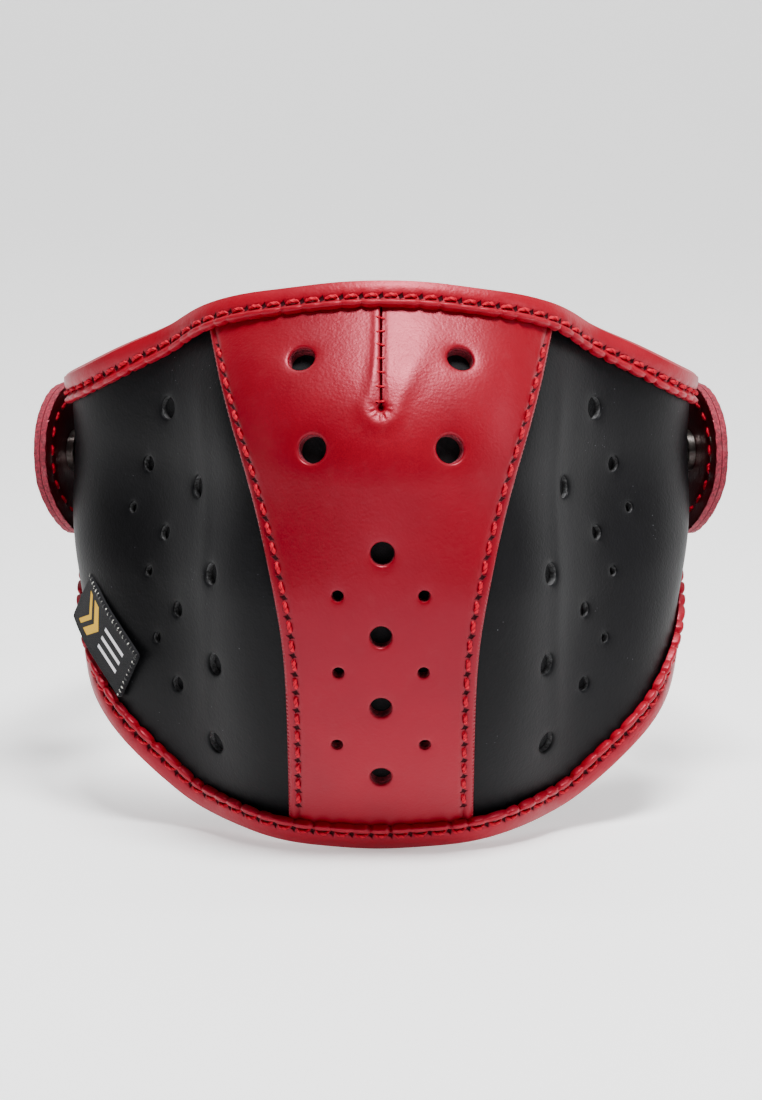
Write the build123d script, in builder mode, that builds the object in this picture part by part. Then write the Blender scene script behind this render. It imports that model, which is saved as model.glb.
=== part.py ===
"""Leather half-face mask with an elastic rear band held by press studs.

The mask is a curved leather shell: a proud centre panel laps over two side panels,
all lined, with a folded leather binding round the edge.  Two leather tabs hold the
ends of an elastic rear band and press onto a snap stud near each rear edge.

Frame: millimetres, +Z up, the face of the mask looks along -Y, +X is to the right of
somebody looking at the front.  The origin is midway between the two snap centres.

A place on the shell is given as on the leather pattern: s is the distance round the
shell from the centreline (positive to +X) and z is the height.  Depth is measured
outwards along the shell's normal from the outer face of the side panels.
"""

import math
import os

from build123d import *

# ---- shell shape ---------------------------------------------------------------
FIRST_TURN = 66.0          # degrees the shell turns from the front to the cheek
FIRST_TURN_AT = 27.5       # s at the middle of that turn
FIRST_TURN_WIDTH = 13.5
CHEEK_FLAT = 22.0          # degrees the shell opens out again over the cheek
CHEEK_FLAT_IN = 61.5
CHEEK_FLAT_WIDTH = 17.5
LAST_TURN = 46.0           # degrees of the turn that carries the shell past the jaw
LAST_TURN_IN = 29.0
LAST_TURN_WIDTH = 11.5
NOSE_RIDGE = 14.5          # extra degrees either side of the nose
NOSE_RIDGE_WIDTH = 9.0
BRIDGE_SLOPE = 0.9         # how fast the bridge leans back above the nose tip
BRIDGE_FROM = 4.5
BRIDGE_EASE = 26.0
CHIN_FROM = -15.5          # below this height the chin curves back
CHIN_BEND = 0.0053
LOW_RANGE = (2.5, 57.5)    # depths below the origin over which the cheek's turns move forwards
LOW_SHIFT = 17.0           # and how far they move
FIRST_TURN_RANGE = (-7.5, 37.5)  # heights over which the first turn moves outwards
FIRST_TURN_SHIFT = 3.0
RIDGE_RANGE = (-22.5, 7.5)       # heights over which the nose's ridge comes in
LEAN_FADES = (30.0, 110.0)       # s over which bridge and chin lose their lean
LEAN_LOST = 0.85
PLAN_STEPS = 48
NORMAL_STEP = 0.05

# ---- outline of the leather, before the binding ---------------------------------
HALF_LENGTH = 142.0        # s of each rear edge
LAST_TURN_AT = HALF_LENGTH - LAST_TURN_IN
CHEEK_FLAT_AT = HALF_LENGTH - CHEEK_FLAT_IN
TOP_EDGE = (
    (0.0, 45.2), (25.0, 42.8), (48.0, 38.3), (74.0, 31.2),
    (100.0, 22.3), (118.0, 19.0), (150.0, 19.0),
)
BOTTOM_EDGE = (
    (0.0, -78.4), (30.0, -76.0), (52.0, -72.6), (72.0, -61.6),
    (90.0, -50.2), (110.0, -36.0), (128.0, -25.5), (150.0, -19.0),
)
SEAM = ((-85.0, 20.6), (-44.0, 20.6), (-27.0, 21.8), (-10.0, 25.4), (7.0, 31.2), (23.0, 38.0), (50.0, 50.0))
SEAM_LAP = 7.0             # how far the centre panel covers each side panel

# ---- leather and lining ---------------------------------------------------------
SIDE_LEATHER = 1.9
CENTRE_LEATHER = 1.3
BACKING_LEATHER = 1.6
LINING = 1.1
PLY_GAP = 0.15             # between two layers of the shell
EDGE_GAP = 0.4             # between two pieces that meet edge to edge

# ---- binding --------------------------------------------------------------------
BINDING_LEATHER = 1.2
BINDING_WIDTH = 7.5        # from the fold to the edge of each leaf
BINDING_STITCH_IN = 5.1    # from the fold to the stitch line

# ---- thread ---------------------------------------------------------------------
THREAD = 0.8
STITCH_PITCH = 4.4
STITCH_LENGTH = 3.3
THREAD_SUNK = 0.25         # how deep a stitch is pulled into the leather
SEAM_STITCH_IN = 2.3       # from the cut edge of the centre panel to its stitches

# ---- punched air holes: s, z, diameter ------------------------------------------
CENTRE_HOLES = ((0.3, -9.5, 5.2), (0.0, -27.8, 4.8), (0.0, -44.1, 4.8), (0.0, -61.1, 4.8))
CENTRE_PAIRS = ((17.4, 30.3, 5.8), (14.9, 12.5, 6.2), (9.3, -18.8, 2.5), (9.2, -35.9, 2.5), (9.6, -53.0, 2.5))
SIDE_HOLES = (
    (66.9, 16.8, 5.2), (54.2, 0.5, 5.0), (44.8, -17.3, 5.1), (43.0, -37.9, 5.0), (43.1, -57.3, 4.9),
    (75.1, 3.2, 3.6), (67.4, -11.3, 3.5), (59.8, -27.8, 3.4), (57.6, -45.1, 3.4),
    (79.7, -7.1, 2.5), (71.5, -20.5, 2.4), (66.0, -35.2, 2.4),
)

# ---- dart down the bridge of the nose -------------------------------------------
DART_POINT_Z = 21.0
DART_WIDTH = 0.5
DART_PITCH = 3.6
DART_STITCH = 2.4

# ---- woven label ----------------------------------------------------------------
LABEL_LENGTH = 28.0
LABEL_WIDTH = 14.0
LABEL_THICK = 0.8
LABEL_S = -80.6            # where it lies along the left side panel
LABEL_UP = 9.0             # from the lip of the bottom binding up to that place
LABEL_STANDOFF = 0.3
LABEL_FRONT = 9.5          # how far it reaches forwards of that place
LABEL_TILT = 35.0          # degrees that its rear end rises
LABEL_STITCH_IN = 1.6
LABEL_STITCH_PITCH = 2.4
LABEL_STITCH = 2.2

# ---- snaps ----------------------------------------------------------------------
SNAP_IN = 16.0             # from the rear edge to the snap
SNAP_Z = 0.0
STUD_FLANGE_R = 4.6
SNAP_SHEET = 0.5           # sheet metal of the flanges
FLANGE_SEAT = 0.3          # between the flat inner flange and the curved lining
STUD_HEIGHT = 2.5
STUD_BALL_R = 2.2
STUD_NECK_IN = 0.25        # how much slimmer the neck is than the ball
STUD_NECK_TOP = 1.2        # from the stud's top down to where its neck ends
STUD_BALL_LOW = 0.8        # from the top down to the ball's widest part
STUD_BALL_HIGH = 0.4
STUD_BALL_ROUND = 0.5
SOCKET_R = 5.0
SOCKET_CLEARANCE = 0.7     # room for the ball, so that the tab can tilt on it
SOCKET_HEIGHT = 2.0
SOCKET_WEB = 0.35
SOCKET_CHAMFER = 0.4
SOCKET_HEADROOM = 0.7      # from the stud's top to the socket's web
SNAP_BARREL_R = 1.6
BARREL_GAP = 0.05
SNAP_HOLE_GAP = 0.15
CAP_R = 6.0
CAP_HEIGHT = 1.3
CAP_RIM = 0.4
CAP_CROWN_R = 2.0
CAP_SHOULDER = 0.8         # share of the dome reached halfway to the crown

# ---- tabs and rear band ---------------------------------------------------------
TAB_HEIGHT = 35.0
TAB_REAR = 42.0            # from the snap to the rear end of the tab
TAB_PLY = 1.55
TAB_STITCH_IN = 4.3
TAB_REAR_CORNER = 3.0
BAND_EDGE_IN = 2.5         # from the edge of the tab to the edge of the band
BAND_THICK = 1.3
BAND_POCKET = 13.0         # how far the band end goes into the tab
POCKET_GAP = 0.1
POCKET_MOUTH = 2.0         # how far the pocket is cut past the tab's rear end
BAND_OUT = 3.5             # how far the band end comes out of the tab
BAND_JOINT_GAP = 1.6       # where the band flexes, just behind the tab

SHELL_THICK = SIDE_LEATHER + PLY_GAP + LINING
BINDING_OUT = PLY_GAP + BINDING_LEATHER
SNAP_S = HALF_LENGTH - SNAP_IN
SNAP_HOLE_R = SNAP_BARREL_R + SNAP_HOLE_GAP
SOCKET_BORE_R = STUD_BALL_R + SOCKET_CLEARANCE
TAB_STANDOFF = STUD_HEIGHT + SOCKET_HEADROOM + SOCKET_WEB + BARREL_GAP
BAND_WIDTH = TAB_HEIGHT - 2 * BAND_EDGE_IN
LIFT_EASES = (0.6, 6.0)    # distances past the seam over which a binding steps down
SIDES = (("left", -1), ("right", 1))


# ---- curves through a few points --------------------------------------------------
def through(points, x):
    """Height at x of a smooth curve through points, a cubic with eased slopes, level past its last."""
    last = len(points) - 1
    x = min(x, points[last][0])

    def slope(i):
        low = points[max(i - 1, 0)]
        high = points[min(i + 1, last)]
        return (high[1] - low[1]) / (high[0] - low[0])

    k = 0
    while k < last - 1 and x > points[k + 1][0]:
        k += 1
    x0, y0 = points[k]
    x1, y1 = points[k + 1]
    span = x1 - x0
    t = (x - x0) / span
    m0 = slope(k) if k > 0 else 0.0
    m1 = slope(k + 1)
    rest = (1 + 2 * t) * (1 - t) ** 2 * y0 + t * t * (3 - 2 * t) * y1
    return rest + t * (1 - t) ** 2 * span * m0 - t * t * (1 - t) * span * m1


def eased(x, start, stop):
    """0 below start, 1 above stop, and a smooth rise between them."""
    t = min(max((x - start) / (stop - start), 0.0), 1.0)
    return t * t * (3 - 2 * t)


def turned(x):
    """A turn's share at x, in its own widths: 0 well before it, 1 well after it."""
    return 0.5 * (1 + math.tanh(x))


def top_edge(s):
    return through(TOP_EDGE, abs(s))


def bottom_edge(s):
    return through(BOTTOM_EDGE, abs(s))


def seam(z):
    return through(SEAM, z)


# ---- the shell --------------------------------------------------------------------
def shell_angle(s, z):
    """Angle in degrees between the shell and the X axis, seen from above, for s >= 0."""
    low = eased(-z, *LOW_RANGE)
    first_at = FIRST_TURN_AT + FIRST_TURN_SHIFT * eased(z, *FIRST_TURN_RANGE)
    angle = FIRST_TURN * (turned((s - first_at) / FIRST_TURN_WIDTH) - turned(-first_at / FIRST_TURN_WIDTH))
    ridge = NOSE_RIDGE * eased(z, *RIDGE_RANGE)
    angle += ridge * math.tanh(s / NOSE_RIDGE_WIDTH) * math.exp(-((s / (3 * NOSE_RIDGE_WIDTH)) ** 2))
    flat_at = CHEEK_FLAT_AT - LOW_SHIFT * low
    angle -= CHEEK_FLAT * math.exp(-(((s - flat_at) / CHEEK_FLAT_WIDTH) ** 2))
    last_at = LAST_TURN_AT - LOW_SHIFT * low
    return angle + LAST_TURN * turned((s - last_at) / LAST_TURN_WIDTH)


def plan(s, z):
    """X and Y reached after s along the shell at height z, from the centreline."""
    length = abs(s) / PLAN_STEPS
    x = 0.0
    y = 0.0
    for i in range(PLAN_STEPS):
        angle = math.radians(shell_angle((i + 0.5) * length, z))
        x += length * math.cos(angle)
        y += length * math.sin(angle)
    return math.copysign(x, s), y


def setback(s, z):
    """How far bridge and chin lean back at a place, fading out towards the rear."""
    up = max(z - BRIDGE_FROM, 0.0)
    down = max(CHIN_FROM - z, 0.0)
    bridge = BRIDGE_SLOPE * (up * up / (2 * BRIDGE_EASE) if up < BRIDGE_EASE else up - BRIDGE_EASE / 2)
    return (bridge + CHIN_BEND * down * down) * (1 - LEAN_LOST * eased(abs(s), *LEAN_FADES))


FRONT_Y = -plan(SNAP_S, SNAP_Z)[1] - setback(SNAP_S, SNAP_Z)


def shell(s, z):
    """Point on the outer face of the side panels, carried on under the centre panel."""
    x, y = plan(s, z)
    return Vector(x, FRONT_Y + y + setback(s, z), z)


def shell_normal(s, z):
    """Outward normal, from the small triangle of points round the place."""
    across = shell(s + NORMAL_STEP, z) - shell(s - NORMAL_STEP, z)
    up = shell(s, z + NORMAL_STEP) - shell(s, z - NORMAL_STEP)
    return across.cross(up).normalized()


def shell_at(s, z, depth):
    return shell(s, z) + shell_normal(s, z) * depth


def patch(inner, outer, depth, columns, rows=21):
    """Face at a depth, between two lines s = inner(z) and s = outer(z) and the two edges."""
    grid = []
    for i in range(columns):
        u = i / (columns - 1)
        column = []
        for j in range(rows):
            v = j / (rows - 1)
            s = inner(0.0) + u * (outer(0.0) - inner(0.0))
            for _ in range(12):
                z = bottom_edge(s) + v * (top_edge(s) - bottom_edge(s))
                s = inner(z) + u * (outer(z) - inner(z))
            column.append(shell_at(s, z, depth))
        grid.append(column)
    return Face.make_surface_from_array_of_points(grid, tol=0.05)


def hole_planes(holes):
    """A plane square to the shell at each hole, with the hole's diameter."""
    return [(Plane(origin=shell(s, z), z_dir=shell_normal(s, z)), size) for s, z, size in holes]


def punch(holes):
    """Punch each hole right through the shell's layers in the part being built."""
    for plane, size in hole_planes(holes):
        with Locations(Location(plane)):
            Cylinder(size / 2, 4 * SHELL_THICK, mode=Mode.SUBTRACT)


# ---- edges, bindings and stitches -------------------------------------------------
def centre_lift(s, z):
    """How far the centre panel raises what lies over it, easing off past its edge."""
    return (CENTRE_LEATHER + PLY_GAP) * (1 - eased(abs(s) - seam(z), *LIFT_EASES))


def edge_frame(s, edge):
    """Point on an edge of the leather, outward normal and direction along the edge."""
    z = edge(s)
    along = (shell(s + 0.2, edge(s + 0.2)) - shell(s - 0.2, edge(s - 0.2))).normalized()
    return shell(s, z), shell_normal(s, z), along


def channel(lift):
    """Outline of the folded strip: its fold's three points, then its two leaves.

    x is depth, and y runs from the edge of the leather into the shell.
    """
    outside = BINDING_OUT + lift
    inside = -SHELL_THICK - BINDING_OUT
    lip = BINDING_WIDTH - BINDING_OUT
    fold = ((inside, 0.0), ((outside + inside) / 2, -BINDING_OUT), (outside, 0.0))
    leaves = (
        (outside, 0.0), (outside, lip), (outside - BINDING_LEATHER, lip),
        (outside - BINDING_LEATHER, -PLY_GAP), (inside + BINDING_LEATHER, -PLY_GAP),
        (inside + BINDING_LEATHER, lip), (inside, lip), (inside, 0.0),
    )
    return fold, leaves


def binding_plane(s, edge, into):
    """Section plane: x outwards, y into the shell, normal along the edge."""
    origin, outward, along = edge_frame(s, edge)
    plane = Plane(origin=origin, x_dir=outward, z_dir=along)
    if plane.y_dir.Z * into < 0:
        plane = Plane(origin=origin, x_dir=outward, z_dir=along * -1)
    return plane


def evenly(path, start, stop, pitch):
    """Parameters of places a pitch apart along path, centred between start and stop."""
    steps = 400
    marks = [start + (stop - start) * i / steps for i in range(steps + 1)]
    spots = [path(t) for t in marks]
    lengths = [0.0]
    for a, b in zip(spots, spots[1:]):
        lengths.append(lengths[-1] + (b - a).length)
    count = int(lengths[-1] / pitch)
    first = (lengths[-1] - (count - 1) * pitch) / 2
    found = []
    k = 0
    for i in range(count):
        target = first + i * pitch
        while lengths[k + 1] < target:
            k += 1
        share = (target - lengths[k]) / (lengths[k + 1] - lengths[k])
        found.append(marks[k] + share * (marks[k + 1] - marks[k]))
    return found


def stitch_run(path, places, length=STITCH_LENGTH):
    """Lay one short round stitch along path at each place."""
    planes = []
    for t in places:
        along = path(t + 0.05) - path(t - 0.05)
        planes.append(Location(Plane(origin=path(t), z_dir=along)))
    with Locations(*planes):
        Cylinder(THREAD / 2, length)


def binding_line(edge, into):
    """Path of the stitches on a binding, lifted to lie on its outer leaf."""
    def path(s):
        plane = binding_plane(s, edge, into)
        height = BINDING_OUT + centre_lift(s, edge(s)) + THREAD / 2 - THREAD_SUNK
        return plane.from_local_coords((height, BINDING_STITCH_IN - BINDING_OUT, 0))
    return path


def rear_plane(side, z):
    """Section plane on the rear edge, y pointing forwards into the shell."""
    s = side * HALF_LENGTH
    origin = shell(s, z)
    outward = shell_normal(s, z)
    up = shell(s, z + 0.2) - shell(s, z - 0.2)
    plane = Plane(origin=origin, x_dir=outward, z_dir=up)
    if plane.y_dir.Y > 0:
        plane = Plane(origin=origin, x_dir=outward, z_dir=up * -1)
    return plane


def write(name, builder):
    """Label a finished piece and write it to its own file."""
    builder.part.label = name
    export_step(builder.part, f"parts/{name}.step")


os.makedirs("parts", exist_ok=True)

# ---- centre panel, its backing and its lining --------------------------------------
# the air holes go through the leather, and the lining behind them is whole and lets air through
both_holes = CENTRE_HOLES + CENTRE_PAIRS + tuple((-s, z, size) for s, z, size in CENTRE_PAIRS)
centre_layers = (
    ("centre_panel", CENTRE_LEATHER + PLY_GAP, CENTRE_LEATHER, 0.0),
    ("centre_backing", -PLY_GAP, BACKING_LEATHER, SEAM_LAP + EDGE_GAP),
    ("centre_lining", -SIDE_LEATHER - PLY_GAP, LINING, SEAM_LAP + EDGE_GAP),
)
FRONTWARDS = Vector(0, -1, 0)
for name, depth, thick, inset in centre_layers:
    with BuildPart() as centre_layer:
        face = patch(lambda z: inset - seam(z), lambda z: seam(z) - inset, depth, 25)
        thicken(face, amount=-thick, normal_override=FRONTWARDS)
        if name != "centre_lining":
            punch(both_holes)
        if name == "centre_panel":
            with BuildSketch(Plane.XZ.offset(-FRONT_Y)):
                dart_top = top_edge(0) + 1.0
                with BuildLine():
                    half_dart = DART_WIDTH / 2
                    Polyline((-half_dart, dart_top), (half_dart, dart_top), (0, DART_POINT_Z), close=True)
                make_face()
            extrude(amount=-60.0, mode=Mode.SUBTRACT)
    write(name, centre_layer)

# ---- side panels and their linings --------------------------------------------------
for side_name, side in SIDES:
    sideways = Vector(side, -1, 0)
    holes = tuple((side * s, z, size) for s, z, size in SIDE_HOLES)
    with BuildPart() as side_panel:
        face = patch(lambda z: side * (seam(z) - SEAM_LAP), lambda z: side * HALF_LENGTH, 0.0, 25)
        thicken(face, amount=-SIDE_LEATHER, normal_override=sideways)
        punch(holes)
        snap_s = side * SNAP_S
        with BuildSketch(Plane(origin=shell(snap_s, SNAP_Z), z_dir=shell_normal(snap_s, SNAP_Z))):
            Circle(SNAP_HOLE_R)
        extrude(amount=SHELL_THICK + 1.0, both=True, mode=Mode.SUBTRACT)
    write(f"{side_name}_side_panel", side_panel)

    with BuildPart() as side_lining:
        lining_depth = -SIDE_LEATHER - PLY_GAP
        face = patch(lambda z: side * (seam(z) - SEAM_LAP), lambda z: side * HALF_LENGTH, lining_depth, 25)
        thicken(face, amount=-LINING, normal_override=sideways)
        snap_s = side * SNAP_S
        with BuildSketch(Plane(origin=shell(snap_s, SNAP_Z), z_dir=shell_normal(snap_s, SNAP_Z))):
            Circle(SNAP_HOLE_R)
        extrude(amount=SHELL_THICK + 1.0, both=True, mode=Mode.SUBTRACT)
    write(f"{side_name}_lining", side_lining)

# ---- bindings along the top and bottom edges ----------------------------------------
BINDING_END = HALF_LENGTH + BINDING_OUT
BINDING_STATIONS = 44
for name, edge, into in (("top_binding", top_edge, -1), ("bottom_binding", bottom_edge, 1)):
    with BuildPart() as binding:
        for i in range(BINDING_STATIONS + 1):
            s = BINDING_END * (2 * i / BINDING_STATIONS - 1)
            fold, leaves = channel(centre_lift(s, edge(s)))
            with BuildSketch(binding_plane(s, edge, into)):
                with BuildLine():
                    ThreePointArc(*fold)
                    Polyline(*leaves)
                make_face()
        loft(ruled=True)
    write(name, binding)
    with BuildPart() as binding_stitches:
        line = binding_line(edge, into)
        stitch_run(line, evenly(line, -HALF_LENGTH + 1.0, HALF_LENGTH - 1.0, STITCH_PITCH))
    write(f"{name}_stitches", binding_stitches)

# ---- bindings and stitches on the rear edges -----------------------------------------
for side_name, side in SIDES:
    rear_low = bottom_edge(HALF_LENGTH) + BINDING_WIDTH + EDGE_GAP
    rear_high = top_edge(HALF_LENGTH) - BINDING_WIDTH - EDGE_GAP
    with BuildPart() as rear_binding:
        for i in range(6):
            fold, leaves = channel(0.0)
            with BuildSketch(rear_plane(side, rear_low + (rear_high - rear_low) * i / 5)):
                with BuildLine():
                    ThreePointArc(*fold)
                    Polyline(*leaves)
                make_face()
        loft(ruled=True)
    write(f"{side_name}_rear_binding", rear_binding)
    with BuildPart() as rear_stitches:
        def rear_line(z):
            height = BINDING_OUT + THREAD / 2 - THREAD_SUNK
            return rear_plane(side, z).from_local_coords((height, BINDING_STITCH_IN - BINDING_OUT, 0))
        stitch_run(rear_line, evenly(rear_line, rear_low, rear_high, STITCH_PITCH))
    write(f"{side_name}_rear_binding_stitches", rear_stitches)

# ---- stitches down the two long seams --------------------------------------------------
for side_name, side in SIDES:
    with BuildPart() as seam_stitches:
        def seam_line(z):
            height = CENTRE_LEATHER + PLY_GAP + THREAD / 2 - THREAD_SUNK
            return shell_at(side * (seam(z) - SEAM_STITCH_IN), z, height)
        seam_low = bottom_edge(seam(-70.0)) + BINDING_WIDTH
        seam_high = top_edge(seam(35.0)) - BINDING_WIDTH
        stitch_run(seam_line, evenly(seam_line, seam_low, seam_high, STITCH_PITCH))
    write(f"{side_name}_seam_stitches", seam_stitches)

# ---- stitches that close the dart -------------------------------------------------------
with BuildPart() as dart_stitches:
    def dart_line(z):
        return shell_at(0.0, z, CENTRE_LEATHER + PLY_GAP + THREAD / 2 - THREAD_SUNK)
    dart_planes = []
    for z in evenly(dart_line, DART_POINT_Z, top_edge(0) - 0.8 * BINDING_WIDTH, DART_PITCH):
        dart_planes.append(Location(Plane(origin=dart_line(z), z_dir=(1, 0, 0))))
    with Locations(*dart_planes):
        Cylinder(THREAD / 2, DART_STITCH)
write("dart_stitches", dart_stitches)

# ---- woven label and the stitches that hold it -------------------------------------------
LABEL_AT = (LABEL_S, bottom_edge(-LABEL_S) + BINDING_WIDTH + LABEL_UP)
label_normal = shell_normal(*LABEL_AT)
label_rear = (shell(LABEL_AT[0] - 1.0, LABEL_AT[1]) - shell(LABEL_AT[0] + 1.0, LABEL_AT[1])).normalized()
label_up = label_rear.cross(label_normal)
label_tilt = math.radians(LABEL_TILT)
label_along = label_rear * math.cos(label_tilt) + label_up * math.sin(label_tilt)
label_plane = Plane(origin=shell_at(*LABEL_AT, LABEL_STANDOFF), x_dir=label_along, z_dir=label_normal)
with BuildPart() as woven_label:
    with BuildSketch(label_plane):
        with Locations((LABEL_LENGTH / 2 - LABEL_FRONT, 0)):
            Rectangle(LABEL_LENGTH, LABEL_WIDTH)
    extrude(amount=LABEL_THICK)
write("woven_label", woven_label)

label_upper = LABEL_WIDTH / 2 if label_plane.y_dir.Z > 0 else -LABEL_WIDTH / 2
label_thread_z = LABEL_THICK + THREAD / 2 - THREAD_SUNK
label_count = int(LABEL_LENGTH / LABEL_STITCH_PITCH)
with BuildPart() as label_stitches:
    spots = []
    for i in range(label_count):
        x = LABEL_STITCH_IN - LABEL_FRONT + i * LABEL_STITCH_PITCH
        y = label_upper - math.copysign(LABEL_STITCH_IN, label_upper)
        spot = label_plane.from_local_coords((x, y, label_thread_z))
        spots.append(Location(Plane(origin=spot, z_dir=label_plane.y_dir)))
    with Locations(*spots):
        Cylinder(THREAD / 2, LABEL_STITCH)
write("label_stitches", label_stitches)

# ---- snaps, tabs and their stitches ----------------------------------------------------------
TAB_OUTER = TAB_STANDOFF + 2 * TAB_PLY + PLY_GAP
for side_name, side in SIDES:
    snap_normal = shell_normal(side * SNAP_S, SNAP_Z)
    snap_origin = shell(side * SNAP_S, SNAP_Z)
    flat_normal = Vector(snap_normal.X, snap_normal.Y, 0).normalized()
    rearwards = Vector(-flat_normal.Y * side, flat_normal.X * side, 0)
    snap_plane = Plane(origin=snap_origin, x_dir=rearwards, z_dir=flat_normal)
    # a revolved profile is drawn with x as radius and y as depth along the snap's axis
    profile_plane = Plane(origin=snap_origin, x_dir=rearwards, z_dir=rearwards.cross(flat_normal))
    snap_axis = Axis(snap_origin, flat_normal)

    with BuildPart() as snap_post:
        with BuildSketch(profile_plane):
            with BuildLine():
                inside_face = -SHELL_THICK - FLANGE_SEAT
                Polyline(
                    (0, inside_face - SNAP_SHEET), (STUD_FLANGE_R, inside_face - SNAP_SHEET),
                    (STUD_FLANGE_R, inside_face), (SNAP_BARREL_R, inside_face),
                    (SNAP_BARREL_R, SNAP_SHEET), (0, SNAP_SHEET), close=True,
                )
            make_face()
        revolve(axis=snap_axis)
    write(f"{side_name}_snap_post", snap_post)

    with BuildPart() as snap_stud:
        with BuildSketch(profile_plane):
            with BuildLine():
                neck_r = STUD_BALL_R - STUD_NECK_IN
                Polyline(
                    (SNAP_BARREL_R + BARREL_GAP, BARREL_GAP), (STUD_FLANGE_R, BARREL_GAP),
                    (STUD_FLANGE_R, SNAP_SHEET + BARREL_GAP), (neck_r, SNAP_SHEET + BARREL_GAP),
                    (neck_r, STUD_HEIGHT - STUD_NECK_TOP), (STUD_BALL_R, STUD_HEIGHT - STUD_BALL_LOW),
                    (STUD_BALL_R, STUD_HEIGHT - STUD_BALL_HIGH), (STUD_BALL_R - STUD_BALL_ROUND, STUD_HEIGHT),
                    (0, STUD_HEIGHT), (0, SNAP_SHEET + BARREL_GAP),
                    (SNAP_BARREL_R + BARREL_GAP, SNAP_SHEET + BARREL_GAP), close=True,
                )
            make_face()
        revolve(axis=snap_axis)
    write(f"{side_name}_snap_stud", snap_stud)

    with BuildPart() as snap_socket:
        with BuildSketch(profile_plane):
            with BuildLine():
                socket_top = TAB_STANDOFF - BARREL_GAP
                socket_low = socket_top - SOCKET_HEIGHT
                socket_web = socket_top - SOCKET_WEB
                Polyline(
                    (SNAP_BARREL_R + BARREL_GAP, socket_top), (SOCKET_R, socket_top),
                    (SOCKET_R, socket_low + SOCKET_CHAMFER), (SOCKET_R - SOCKET_CHAMFER, socket_low),
                    (SOCKET_BORE_R, socket_low),
                    (SOCKET_BORE_R, socket_web), (SNAP_BARREL_R + BARREL_GAP, socket_web), close=True,
                )
            make_face()
        revolve(axis=snap_axis)
    write(f"{side_name}_snap_socket", snap_socket)

    with BuildPart() as snap_cap:
        with BuildSketch(profile_plane):
            with BuildLine():
                cap_low = TAB_OUTER + BARREL_GAP
                Polyline(
                    (CAP_CROWN_R, cap_low + CAP_HEIGHT), (0, cap_low + CAP_HEIGHT), (0, socket_web),
                    (SNAP_BARREL_R, socket_web), (SNAP_BARREL_R, cap_low), (CAP_R, cap_low),
                    (CAP_R, cap_low + CAP_RIM),
                )
                shoulder_up = CAP_RIM + CAP_SHOULDER * (CAP_HEIGHT - CAP_RIM)
                cap_shoulder = ((CAP_R + CAP_CROWN_R) / 2, cap_low + shoulder_up)
                ThreePointArc((CAP_R, cap_low + CAP_RIM), cap_shoulder, (CAP_CROWN_R, cap_low + CAP_HEIGHT))
            make_face()
        revolve(axis=snap_axis)
    write(f"{side_name}_snap_cap", snap_cap)

    # each ply is a strip with a round front end, and the band end lies in a pocket between them
    pocket_depth = (BAND_THICK + POCKET_GAP - PLY_GAP) / 2
    inner_low = TAB_STANDOFF
    inner_high = TAB_STANDOFF + TAB_PLY
    outer_low = inner_high + PLY_GAP
    plies = (("inner", inner_low, inner_high - pocket_depth), ("outer", outer_low, outer_low))
    for ply_name, low, pocket_low in plies:
        with BuildPart() as tab_ply:
            with BuildSketch(snap_plane.offset(low)) as outline:
                Circle(TAB_HEIGHT / 2)
                with Locations((TAB_REAR / 2, 0)):
                    Rectangle(TAB_REAR, TAB_HEIGHT)
                fillet(outline.vertices().sort_by(Axis((0, 0, 0), rearwards))[-2:], TAB_REAR_CORNER)
            extrude(amount=TAB_PLY)
            with BuildSketch(snap_plane.offset(low)):
                Circle(SNAP_HOLE_R)
            extrude(amount=TAB_PLY, mode=Mode.SUBTRACT)
            with BuildSketch(snap_plane.offset(pocket_low)):
                with Locations((TAB_REAR + (POCKET_MOUTH - BAND_POCKET) / 2, 0)):
                    Rectangle(BAND_POCKET + POCKET_MOUTH, BAND_WIDTH + 2 * POCKET_GAP)
            extrude(amount=pocket_depth, mode=Mode.SUBTRACT)
        write(f"{side_name}_tab_{ply_name}_ply", tab_ply)

    with BuildPart() as band_end:
        band_low = inner_high + PLY_GAP / 2 - BAND_THICK / 2
        with BuildSketch(snap_plane.offset(band_low)):
            band_end_length = BAND_POCKET - POCKET_GAP + BAND_OUT
            with Locations((TAB_REAR + BAND_OUT - band_end_length / 2, 0)):
                Rectangle(band_end_length, BAND_WIDTH)
        extrude(amount=BAND_THICK)
    write(f"{side_name}_band_end", band_end)

    with BuildPart() as tab_stitches:
        stitch_r = TAB_HEIGHT / 2 - TAB_STITCH_IN
        stitch_depth = TAB_OUTER + THREAD / 2 - THREAD_SUNK
        rear_run = TAB_REAR - TAB_STITCH_IN
        half_round = math.pi * stitch_r
        outline_length = 2 * rear_run + half_round

        def tab_line(t):
            """Point at distance t along the U-shaped stitch line on the tab."""
            if t < rear_run:
                x, y = rear_run - t, stitch_r
            elif t < rear_run + half_round:
                turn = (t - rear_run) / stitch_r
                x, y = -stitch_r * math.sin(turn), stitch_r * math.cos(turn)
            else:
                x, y = t - rear_run - half_round, -stitch_r
            return snap_plane.from_local_coords((x, y, stitch_depth))

        stitch_run(tab_line, evenly(tab_line, 0.0, outline_length, STITCH_PITCH))
    write(f"{side_name}_tab_stitches", tab_stitches)

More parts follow.
